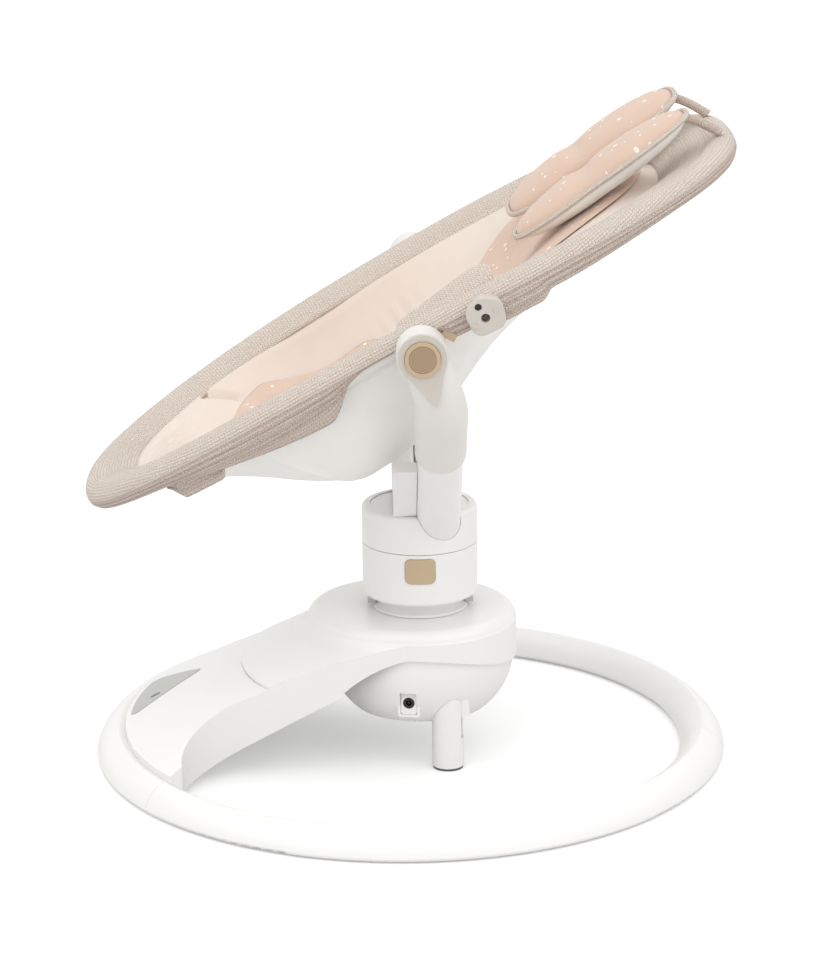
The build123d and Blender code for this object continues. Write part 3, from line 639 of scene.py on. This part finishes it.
def jersey(name, tone, sheen=0.2, printed=None):
    """Smooth cloth with painted shade in its crease hollows, and an optional scatter of pale dots."""
    made = Finish(name)
    threads = made.use(effect("jersey", jersey_group), Cloth=made.cloth)
    # Painted shade from the creases: the tone goes down to 0.95 in the hollows and up to 1.05 on the ridges.
    body = made.wires.mix(threads["Shade"], shade(tone, 0.95), shade(tone, 1.05))
    if printed:
        dots = made.use(effect("dots", dots_group), Cloth=made.cloth)
        body = made.wires.mix(dots["Mask"], body, shade(printed, 1.0))
    made.colour(body)
    made.bump(threads["Height"], 0.25, 0.5 * MM)
    made.set(Roughness=0.9, Sheen_Weight=sheen, Sheen_Roughness=0.45, Specular_IOR_Level=0.2)
    return made.material


FINISHES = {}


def finish(name):
    """One of the swing's finishes, built once."""
    tone = colours()
    makers = {
        "shell": lambda: plastic("shell white", tone.shell, 0.28, 0.36, coat=0.15),
        "sleeve": lambda: plastic("sleeve grey", tone.sleeve, 0.38, 0.48, 1400.0, 0.1),
        "plate": lambda: plastic("plate grey", tone.plate, 0.42, 0.52, 1400.0, 0.12),
        "panel": lambda: plastic("panel grey", tone.panel, 0.3, 0.4, 1400.0, 0.06),
        "tab": lambda: plastic("button sand", tone.tab, 0.36, 0.46, 1200.0, 0.06),
        "button": lambda: two_tone("button tan", tone.tab, tone.button, 11 * MM),
        "dark": lambda: plastic("dark plastic", tone.dark, 0.2, 0.35),
        "metal": lambda: plastic("grey enamel", tone.metal, 0.3, 0.4, metallic=0.6),
        "rubber": lambda: plastic("foot rubber", tone.rubber, 0.6, 0.75, 700.0, 0.2),
        "knit": lambda: knit("hoop knit", tone.knit, sizes().knit_pitch, 0.9, 1.0 * MM),
        "twill": lambda: knit("band twill", shade(tone.knit, 0.9)[:3], sizes().knit_pitch * 1.15, 1.6,
                              1.1 * MM),
        "lining": lambda: jersey("lining jersey", tone.lining),
        "plush": lambda: jersey("plush print", tone.plush, 0.35, tone.print),
        "sling": lambda: jersey("sling jersey", tone.sling, 0.1),
    }
    if name not in FINISHES:
        FINISHES[name] = makers[name]()
    return FINISHES[name]


RIGID_FINISH = {
    "shell": ["ring_near", "ring_far", "base_shell", "hub_pan", "support_leg", "turret_lower", "turret_upper",
              "turret_cap", "yoke_web", "yoke_tube", "tongue_cover", "jack_plate", "drive_sector",
              "drive_pinion", "swing_column"],
    "sleeve": ["elbow_near", "elbow_far", "side_joint_near", "side_joint_far", "rim_tube_head",
               "rim_tube_feet"],
    "plate": ["pivot_plate_near", "pivot_plate_far", "toy_socket_near", "toy_socket_far"],
    "panel": ["control_panel"],
    "tab": ["release_button_near", "release_button_far", "stop_tab_near", "stop_tab_far"],
    "button": ["recline_button_near", "recline_button_far"],
    # The window and inlet are dark themselves; on the holes the near-black is painted shade.
    "dark": ["panel_window", "dc_socket", "speaker", "circuit_board", "socket_screws"],
    "metal": ["ring_spigots", "shaft_bearings", "drive_motor", "neck_brackets"],
    "rubber": ["floor_pads", "leg_pad"],
}


class SWING_OT_rigid(bpy.types.Operator):
    """Gives the moulded and metal pieces their finishes"""
    bl_idname = "swing.rigid"
    bl_label = "Rigid pieces"

    def execute(self, context):
        for name, nodes in RIGID_FINISH.items():
            for node in nodes:
                data = frame["nodes"][node]
                for slot in data.material_slots:
                    slot.material = finish(name)
                if not data.material_slots:
                    data.data.materials.append(finish(name))
        return {"FINISHED"}


# Hoop cover

PIVOT_DRAW = 3 * MM
PIPING_DROP = -2.2 * MM
ROLL_HALF_WIDTH = 14.5 * MM
FLAP_WIDTH = 0.03
HEM_TAB_WIDTH = 0.025


def drawn_in(x):
    """How far the cover is drawn in beside the pivot."""
    return PIVOT_DRAW * bump_at(x, 0.0, 48 * MM)


def band_open(x):
    """0 where the side band is open round the pivot, 1 elsewhere."""
    return 1 - smooth_step(-96 * MM, -48 * MM, x) * (1 - smooth_step(20 * MM, 34 * MM, x))


def band_depth(x):
    """Drop of the side band's hem below the hoop."""
    shoulder = 6 * MM * smooth_step(10 * MM, 30 * MM, x) * (1 - smooth_step(130 * MM, 260 * MM, x))
    socket = 7 * MM * smooth_step(60 * MM, 75 * MM, x) * (1 - smooth_step(112 * MM, 126 * MM, x))
    return sizes().band_drop + shoulder + socket + 9.5 * MM * bump_at(x, -150 * MM, 90 * MM)


def roll_section(x, y):
    """Flange and roll as distances outwards and up from the hoop, from the lining's seam to the piping."""
    inner = -liner_inset(x)
    crown = 11 * MM + 0.8 * MM * max(-1.0, min(1.0, y / (120 * MM)))
    shoulder = -8.5 * MM
    points = [(inner - 1.5 * MM, -6 * MM), (inner - 0.9 * MM, -2.5 * MM), (inner + 0.4 * MM, -0.4 * MM)]
    for step in range(0, 10):
        t = step / 10
        out = inner + 2 * MM + (shoulder - inner - 2 * MM) * t
        swell = min(2.6 * MM, 0.06 * (shoulder - inner)) * math.sin(math.pi * t)
        points.append((out, 0.4 * MM + (crown - 2.6 * MM) * t + swell))
    draw = drawn_in(x)
    for angle in range(126, -8, -12):
        turn = math.radians(angle)
        out = 0.5 * MM + (ROLL_HALF_WIDTH - draw) * math.cos(turn)
        points.append((out, -1 * MM + (crown + 1 * MM) * math.sin(turn)))
    points.append((14.2 * MM - draw, -2.8 * MM))
    return points


def band_section(x, y):
    """Side band from the piping down to its hem, with two sewn channels."""
    drop = 5 * MM + (band_depth(x) - 5 * MM) * band_open(x)
    draw = drawn_in(x)
    top = PIPING_DROP
    points = [(13.4 * MM - draw, top)]
    for step in range(1, 16):
        t = step / 16
        channel = 2.2 * MM * (bump_at(t, 0.45, 0.06) + bump_at(t, 0.78, 0.06)) * min(1.0, drop / (15 * MM))
        belly = 1.6 * MM * math.sin(math.pi * min(1.0, t * 1.1))
        points.append((14 * MM - draw + belly - channel - 2.5 * MM * t * t, top + (-drop - top) * t))
    points.append((10.5 * MM - draw, -drop - 0.6 * MM))
    points.append((7 * MM - draw, -drop + 1.5 * MM))
    return points


def flap_section(x, y):
    """Loose cloth that hangs below the side band at the feet."""
    rise = smooth_step(-250 * MM, -90 * MM, x)
    ends = smooth_step(-262 * MM, -235 * MM, x) * (1 - smooth_step(-104 * MM, -58 * MM, x))
    low = band_depth(x) * 0.75 * (0.4 + 0.6 * ends) + (9 * MM + 12 * MM * rise) * ends
    wave = 1.6 * MM * math.sin(x / (19 * MM)) * ends
    top = low * 0.5
    points = []
    for step in range(9):
        t = step / 8
        points.append((8.5 * MM - 4.5 * MM * t * t + wave * t, -top - (low - top) * t))
    return points


def tab_section(x, y):
    """Gathered hem tab under the feet end of the band."""
    ends = smooth_step(-268 * MM, -255 * MM, x) * (1 - smooth_step(-216 * MM, -204 * MM, x))
    low = 18 * MM + 16 * MM * ends
    points = []
    for step in range(9):
        t = step / 8
        fold = 1.4 * MM * math.sin(3 * math.pi * t)
        points.append((3.5 * MM + fold - 2 * MM * t, -14 * MM - (low - 14 * MM) * t))
    return points


def sweep(name, hoop, section, stations=None):
    """A cloth swept round the hoop, or along part of it."""
    rows, uvs = [], []
    for k in stations or range(len(hoop.run)):
        points = section(hoop.x[k], hoop.y[k])
        run = 0.0
        row, marks = [], []
        for j, (out, up) in enumerate(points):
            if j > 0:
                run += math.hypot(out - points[j - 1][0], up - points[j - 1][1])
            row.append(hoop.place(k, out, up))
            marks.append((hoop.run[k], run))
        rows.append(row)
        uvs.append(marks)
    return skin(name, rows, uvs)


def stations_between(hoop, low, high, side):
    """Stations of one side of the hoop with x between two limits."""
    return [k for k in range(len(hoop.run)) if low < hoop.x[k] < high and hoop.y[k] * side > 60 * MM]


def hanging_cloth(obj, thickness):
    thicken(obj, thickness)
    return obj


class SWING_OT_hoop_cover(bpy.types.Operator):
    """Knitted cover round the seat's hoop: roll with flange, side band and piping"""
    bl_idname = "swing.hoop_cover"
    bl_label = "Hoop cover"

    def execute(self, context):
        hoop = Hoop()
        roll = thicken(sweep("hoop_roll", hoop, roll_section), 2.0 * MM)
        finish_piece(roll, finish("knit"), replaces=("rim_cover_head", "rim_cover_feet"))
        band = thicken(sweep("side_band", hoop, band_section), 1.6 * MM)
        finish_piece(band, finish("twill"))
        for name, section, low, high, width in (("flap", flap_section, -262, -58, FLAP_WIDTH),
                                                ("hem_tab", tab_section, -268, -204, HEM_TAB_WIDTH)):
            for label, side in (("near", -1), ("far", 1)):
                stations = stations_between(hoop, low * MM, high * MM, side)
                strip = sweep(f"{name}_{label}", hoop, section, stations)
                finish_piece(strip, finish("twill"))
                hanging_cloth(strip, 1.2 * MM)
        path = [hoop.place(k, 14.4 * MM - drawn_in(hoop.x[k]), PIPING_DROP) for k in range(0, STATIONS, 2)]
        piping = tube("hoop_piping", path, 1.1 * MM, closed=True)
        finish_piece(piping, finish("knit"))
        return {"FINISHED"}


# Bowl

SPINE_SHARE = 0.62


def dish(name, bowl, hoop, rings, dent):
    """A cloth over a bowl, in rings from its edge to its spine."""
    middle = (bowl.low + bowl.high) / 2
    rows, uvs = [], []
    for k in range(len(hoop.run)):
        edge = bowl.edge[k]
        spine = Vector((middle + SPINE_SHARE * (edge.x - middle), 0.0))
        row, marks = [], []
        for ring in range(rings + 1):
            share = 1 - ring / rings
            x = spine.x + (edge.x - spine.x) * share
            y = edge.y * share
            point = bowl.point(x, y)
            if ring > 0:
                point += bowl.normal(x, y) * dent(x, y, share)
            row.append(point)
            marks.append((x, y))
        rows.append(row)
        uvs.append(marks)
    return skin(name, rows, uvs)


def lining_puff(x, y, share):
    """Lining's padding: seams, and creases down the walls."""
    puff = 8 * MM * math.sin(math.pi * min(1.0, (1 - share) * 3.2) / 2)
    inside = 1 - smooth_step(0.82, 0.94, share)
    length = smooth_step(-272 * MM, -262 * MM, x) * (1 - smooth_step(-206 * MM, -196 * MM, x))
    puff -= 6 * MM * bump_at(abs(y), 95 * MM - 0.26 * (x + 234 * MM), 3 * MM) * length
    crease = math.sin(2 * math.pi * (x + 0.3 * y) / (15 * MM)) * bump_at(x, -30 * MM, 32 * MM)
    crease += 1.2 * math.sin(2 * math.pi * (x - 0.5 * abs(y)) / (9 * MM)) * bump_at(x, -272 * MM, 26 * MM)
    wall = smooth_step(0.3, 0.6, share) * inside
    drift = noise.noise(Vector((x, y, 0)) * 16)
    return puff + 1.5 * MM * crease * wall + 2.0 * MM * drift * inside


def sling_sag(x, y, share):
    """Sling's slack: long shallow folds that run down from the hoop."""
    fold = noise.noise(Vector((x * 8 + abs(y) * 5, y * 14, 3.0)))
    pull = math.sin(2 * math.pi * (x + 0.5 * abs(y)) / (62 * MM)) * smooth_step(0.3, 0.8, share)
    tuck = bump_at(x + 0.9 * abs(y), -70 * MM, 7 * MM) * smooth_step(0.2, 0.5, share)
    return (4.0 * MM * fold + 1.0 * MM * pull - 3.5 * MM * tuck) * (1 - smooth_step(0.9, 1.0, share))


class SWING_OT_bowl(bpy.types.Operator):
    """Padded lining and white sling of the seat's bowl"""
    bl_idname = "swing.bowl"
    bl_label = "Bowl"

    def execute(self, context):
        hoop = Hoop()
        lining = thicken(dish("seat_lining", inner_bowl(hoop), hoop, 44, lining_puff), 5 * MM)
        finish_piece(lining, finish("lining"), replaces=("seat_liner",))
        outer = Bowl(hoop, lambda x: 9 * MM, 12 * MM, lambda x: 0.0)
        sling = dish("sling_cloth", outer, hoop, 40, sling_sag)
        finish_piece(sling, finish("sling"), replaces=("seat_sling",))
        hanging_cloth(sling, 1.4 * MM)
        return {"FINISHED"}


def padding(x):
    """Thickness of the lining's filling, fuller under the head."""
    return PADDING + 14 * MM * smooth_step(90 * MM, 210 * MM, x)


def inner_bowl(hoop):
    """The lining's face."""
    return Bowl(hoop, liner_inset, 1.5 * MM, padding)


# Insert

INSERT_FEET = -222 * MM
INSERT_HEAD = 236 * MM
INSERT_SEAM = 84 * MM
INSERT_WIDEST_SHARE = 0.87
COVER_FEET = -17 * MM
COVER_LENGTH = 101 * MM
COVER_SIDE = 127 * MM
COVER_SLOPE = 0.55


def insert_half_width(x):
    """Half the insert's width: round ends and a waist at the hips."""
    side = 122 * MM - 52 * MM * bump_at(x, 20 * MM, 60 * MM)
    if x < -100 * MM:
        t = (-100 * MM - x) / (122 * MM)
        return side * max(0.0, 1 - t * t) ** 0.32
    t = max(0.0, (x - 90 * MM) / (INSERT_HEAD - 90 * MM))
    return side * max(0.0, 1 - t * t) ** 0.42


def closed_pad(name, xs, half_width, low, high, ribs=24):
    """A closed pad over stations along x; low and high give its two faces at a point."""
    rows, uvs = [], []
    for x in xs:
        half = max(half_width(x), 0.2 * MM)
        across = [half * (-1 + 2 * j / ribs) for j in range(ribs + 1)]
        under = [low(x, y) for y in across]
        over = [high(x, y, y / half) for y in reversed(across[1:-1])]
        row = under + over + under[:1]
        rows.append(row)
        uvs.append([(x, y) for y in across] + [(x, y) for y in reversed(across[1:-1])] + [(x, across[0])])
    return skin(name, rows, uvs)


class SWING_OT_insert(bpy.types.Operator):
    """Removable padded insert in the bowl"""
    bl_idname = "swing.insert"
    bl_label = "Seat insert"

    def execute(self, context):
        bowl = inner_bowl(Hoop())
        length = INSERT_HEAD - INSERT_FEET
        xs = [INSERT_FEET + length * (0.5 - 0.5 * math.cos(math.pi * i / 72)) for i in range(73)]

        def half_width(x):
            return min(insert_half_width(x), INSERT_WIDEST_SHARE * bowl.half_width(x))

        def low(x, y):
            return bowl.point(x, y) + bowl.normal(x, y) * 7.2 * MM

        def high(x, y, side):
            rise = 5 * MM * (1 - abs(side) ** 4) ** 0.5 * min(1.0, half_width(x) / (40 * MM))
            rise -= 3.5 * MM * (bump_at(x, INSERT_SEAM, 5 * MM) + 0.6 * bump_at(x, 104 * MM, 6 * MM))
            return bowl.point(x, y) + bowl.normal(x, y) * (8 * MM + rise)

        pad = closed_pad("insert_pad", xs, half_width, low, high, 36)
        to_seat = seat_frame().inverted()
        held = []
        for vertex in pad.data.vertices:
            place = to_seat @ vertex.co
            above = (place - bowl.point(place.x, place.y)).dot(bowl.normal(place.x, place.y))
            if above < 7.9 * MM or abs(place.x - INSERT_SEAM) < 4 * MM:
                held.append(vertex.index)
        inflate(pad, 3.0, 6 * MM, held)
        smooth_mesh(pad)
        finish_piece(pad, finish("plush"), replaces=("seat_insert",))
        self.strap_cover()
        return {"FINISHED"}

    def strap_cover(self):
        """Knitted cover of the near shoulder strap, beside the hoop."""
        xs = [COVER_FEET + COVER_LENGTH * (0.5 - 0.5 * math.cos(math.pi * i / 30)) for i in range(31)]

        def half_width(x):
            t = (x - COVER_FEET) / COVER_LENGTH
            return 15 * MM * min(1.0, max(0.0, 1 - (2 * t - 1) ** 8)) ** 0.5

        def height(x):
            return 9 * MM + 10 * MM * smooth_step(COVER_FEET, COVER_FEET + COVER_LENGTH, x)

        def low(x, y):
            return Vector((x, y - COVER_SIDE, height(x) + COVER_SLOPE * y))

        def high(x, y, side):
            crown = 1 * MM + 4.5 * MM * (1 - abs(side) ** 3) ** 0.5
            return Vector((x, y - COVER_SIDE - 0.5 * crown, height(x) + COVER_SLOPE * y + crown))

        cover = closed_pad("strap_cover", xs, half_width, low, high, 16)
        smooth_mesh(cover)
        finish_piece(cover, finish("knit"))


# Head pillow

LOBE_PLACE = (206 * MM, 55 * MM, 33 * MM)
LOBE_WAIST = -11 * MM
LOBE_PUFF_OVER = 15 * MM
LOBE_PUFF_UNDER = -16 * MM
STRAP_RADIUS = 4.2 * MM
STRAP_STEPS = 40


def lobe_frame(side):
    """Frame of one pillow lobe in the seat's frame; side is -1 near and 1 far."""
    x, y, z = LOBE_PLACE
    lean = Matrix.Rotation(math.radians(-6.8), 4, "Y")
    wing = Matrix.Rotation(math.radians(4 + 4 * side) * side, 4, "X")
    return Matrix.Translation((x, y * side, z)) @ lean @ wing


def lobe_outline(t):
    """Long rounded leaf with a slight waist, t from 0 to 2 pi; y is outwards."""
    half_length = sizes().pillow_length / 2
    half_width = sizes().pillow_width / 2
    x = half_length * math.copysign(abs(math.cos(t)) ** 0.64, math.cos(t))
    y = half_width * math.copysign(abs(math.sin(t)) ** 0.7, math.sin(t))
    return x, y * (1 - 0.1 * bump_at(x, LOBE_WAIST, 26 * MM))


class SWING_OT_pillow(bpy.types.Operator):
    """Two-lobed head pillow with piping and its straps"""
    bl_idname = "swing.pillow"
    bl_label = "Head pillow"

    def execute(self, context):
        for name, side in (("near", -1), ("far", 1)):
            self.lobe(name, side)
            self.strap(name, side)
        return {"FINISHED"}

    def lobe(self, name, side, steps=80, rings=14):
        local = lobe_frame(side)
        rows, uvs = [], []
        for i in range(steps + 1):
            x, y = lobe_outline(2 * math.pi * i / steps)
            row, marks = [], []
            for ring in range(-rings, rings + 1):
                share = 1 - abs(ring) / rings
                puff = (LOBE_PUFF_OVER if ring > 0 else LOBE_PUFF_UNDER) * (1 - share ** 2.6) ** 0.55
                if ring > 0:
                    puff -= 5 * MM * bump_at(x * share, LOBE_WAIST, 11 * MM) * (1 - share ** 2)
                row.append(local @ Vector((x * share, y * share * side, puff)))
                marks.append((x * share, y * share))
            rows.append(row)
            uvs.append(marks)
        shape = skin(f"pillow_{name}", rows, uvs)
        to_lobe = (seat_frame() @ local).inverted()
        seam = [vertex.index for vertex in shape.data.vertices if abs((to_lobe @ vertex.co).z) < 0.05 * MM]
        inflate(shape, 4.0, 5 * MM, seam)
        smooth_mesh(shape)
        replaced = ("head_pillow",) if side < 0 else ()
        finish_piece(shape, finish("plush"), replaces=replaced)
        shape.data.materials.append(finish("sling"))
        for polygon in shape.data.polygons:
            polygon.material_index = 0 if (to_lobe @ polygon.center).z > 0 else 1
        path = [local @ Vector((x, y * side, 0)) for x, y in
                (lobe_outline(2 * math.pi * i / 120) for i in range(120))]
        piping = tube(f"pillow_piping_{name}", path, 2.6 * MM, closed=True)
        finish_piece(piping, finish("knit"))

    def strap(self, name, side):
        """Gathered strap from a lobe's head end over the hoop."""
        path = []
        for i in range(STRAP_STEPS + 1):
            t = i / STRAP_STEPS
            path.append(Vector(((295 + 22 * t) * MM, side * (55 - 6 * t) * MM,
                                (41 - 30 * t + 3 * math.sin(math.pi * t)) * MM)))
        strap = tube(f"pillow_strap_{name}", path, STRAP_RADIUS, 16)
        to_seat = seat_frame().inverted()
        middle = seat_frame() @ path[STRAP_STEPS // 2]
        for vertex in strap.data.vertices:
            place = to_seat @ vertex.co
            vertex.co += (vertex.co - middle) * 0.02 * math.sin(place.z / (0.9 * MM))
        replaced = ("pillow_straps",) if side < 0 else ()
        finish_piece(strap, finish("twill"), replaces=replaced)


# Stage

FLOOR_REACH = 30.0
FLOOR_TONE = 0.76
FLOOR_GLOW = 0.3
SKY_LIGHT = 0.72


class SWING_OT_stage(bpy.types.Operator):
    """Pale floor, soft lights and the camera"""
    bl_idname = "swing.stage"
    bl_label = "Stage"

    def execute(self, context):
        scene = context.scene
        scene.view_settings.view_transform = "Standard"
        self.world(scene)
        self.floor()
        self.lights()
        self.camera(scene)
        return {"FINISHED"}

    def world(self, scene):
        world = bpy.data.worlds.new("studio")
        scene.world = world
        world.use_nodes = True
        w = Wires(world.node_tree)
        path = w.node("ShaderNodeLightPath")
        seen = w.math("MAXIMUM", path.outputs["Is Camera Ray"], path.outputs["Is Glossy Ray"])
        seen = w.math("MAXIMUM", seen, path.outputs["Is Transmission Ray"])
        back = world.node_tree.nodes["Background"]
        back.inputs["Color"].default_value = (1, 1, 1, 1)
        w.join(w.ramp(seen, 0.0, 1.0, SKY_LIGHT, 1.0), back.inputs["Strength"])

    def floor(self):
        mesh = bpy.data.meshes.new("floor")
        corners = ((-1, -1, 0), (1, -1, 0), (1, 1, 0), (-1, 1, 0))
        mesh.from_pydata([Vector(corner) * FLOOR_REACH for corner in corners], [], [(0, 1, 2, 3)])
        floor = bpy.data.objects.new("floor", mesh)
        bpy.context.scene.collection.objects.link(floor)
        material = bpy.data.materials.new("floor white")
        material.use_nodes = True
        w = Wires(material.node_tree)
        shader = material.node_tree.nodes["Principled BSDF"]
        shader.inputs["Base Color"].default_value = (FLOOR_TONE, FLOOR_TONE, FLOOR_TONE, 1)
        shader.inputs["Roughness"].default_value = 0.9
        shader.inputs["Specular IOR Level"].default_value = 0.0
        path = w.node("ShaderNodeLightPath")
        shader.inputs["Emission Color"].default_value = (1, 1, 1, 1)
        glow = w.math("MULTIPLY", path.outputs["Is Camera Ray"], FLOOR_GLOW)
        w.join(glow, shader.inputs["Emission Strength"])
        mesh.materials.append(material)

    def lights(self):
        for name, place, spread, power in (
                ("left", (-1.0, -1.1, 1.7), 70, 0.7),
                ("right", (1.3, -0.9, 1.2), 70, 0.6),
                ("top", (0.1, 0.3, 2.0), 100, 0.6)):
            lamp = bpy.data.lights.new(name, "SUN")
            lamp.angle = math.radians(spread)
            lamp.energy = power
            obj = bpy.data.objects.new(f"light_{name}", lamp)
            obj.rotation_euler = (-Vector(place)).to_track_quat("-Z", "Y").to_euler()
            bpy.context.scene.collection.objects.link(obj)

    def camera(self, scene):
        size = sizes()
        data = bpy.data.cameras.new("camera")
        data.lens = size.camera_lens
        data.sensor_width = SENSOR
        data.clip_end = 100
        obj = bpy.data.objects.new("camera", data)
        scene.collection.objects.link(obj)
        level = math.cos(size.camera_elevation)
        away = Vector((math.sin(size.camera_azimuth) * level, -math.cos(size.camera_azimuth) * level,
                       math.sin(size.camera_elevation)))
        obj.location = CAMERA_AIM + away * size.camera_distance
        look = away.to_track_quat("Z", "Y").to_matrix().to_4x4()
        obj.rotation_euler = (look @ Matrix.Rotation(size.camera_roll, 4, "Z")).to_euler()
        scene.camera = obj


OPERATORS = [SWING_OT_rigid, SWING_OT_hoop_cover, SWING_OT_bowl, SWING_OT_insert, SWING_OT_pillow,
             SWING_OT_stage]


class SWING_PT_panel(bpy.types.Panel):
    """Lists the swing's pieces"""
    bl_idname = "SWING_PT_panel"
    bl_label = "Baby swing"
    bl_space_type = "VIEW_3D"
    bl_region_type = "UI"
    bl_category = "Swing"

    def draw(self, context):
        for operator in OPERATORS:
            self.layout.operator(operator.bl_idname)
        for group_name in ("swing_sizes", "swing_colours"):
            values = getattr(context.scene, group_name)
            for key in values.__annotations__:
                self.layout.prop(values, key)


CLASSES = [SwingSizes, SwingColours, *OPERATORS, SWING_PT_panel]


def register():
    for cls in CLASSES:
        bpy.utils.register_class(cls)
    bpy.types.Scene.swing_sizes = bpy.props.PointerProperty(type=SwingSizes)
    bpy.types.Scene.swing_colours = bpy.props.PointerProperty(type=SwingColours)


def unregister():
    del bpy.types.Scene.swing_colours
    del bpy.types.Scene.swing_sizes
    for cls in reversed(CLASSES):
        bpy.utils.unregister_class(cls)


def main():
    """Builds every piece in order."""
    register()
    for operator in OPERATORS:
        _, name = operator.bl_idname.split(".")
        getattr(bpy.ops.swing, name)()
    bpy.context.view_layer.update()


if __name__ == "__main__":
    main()
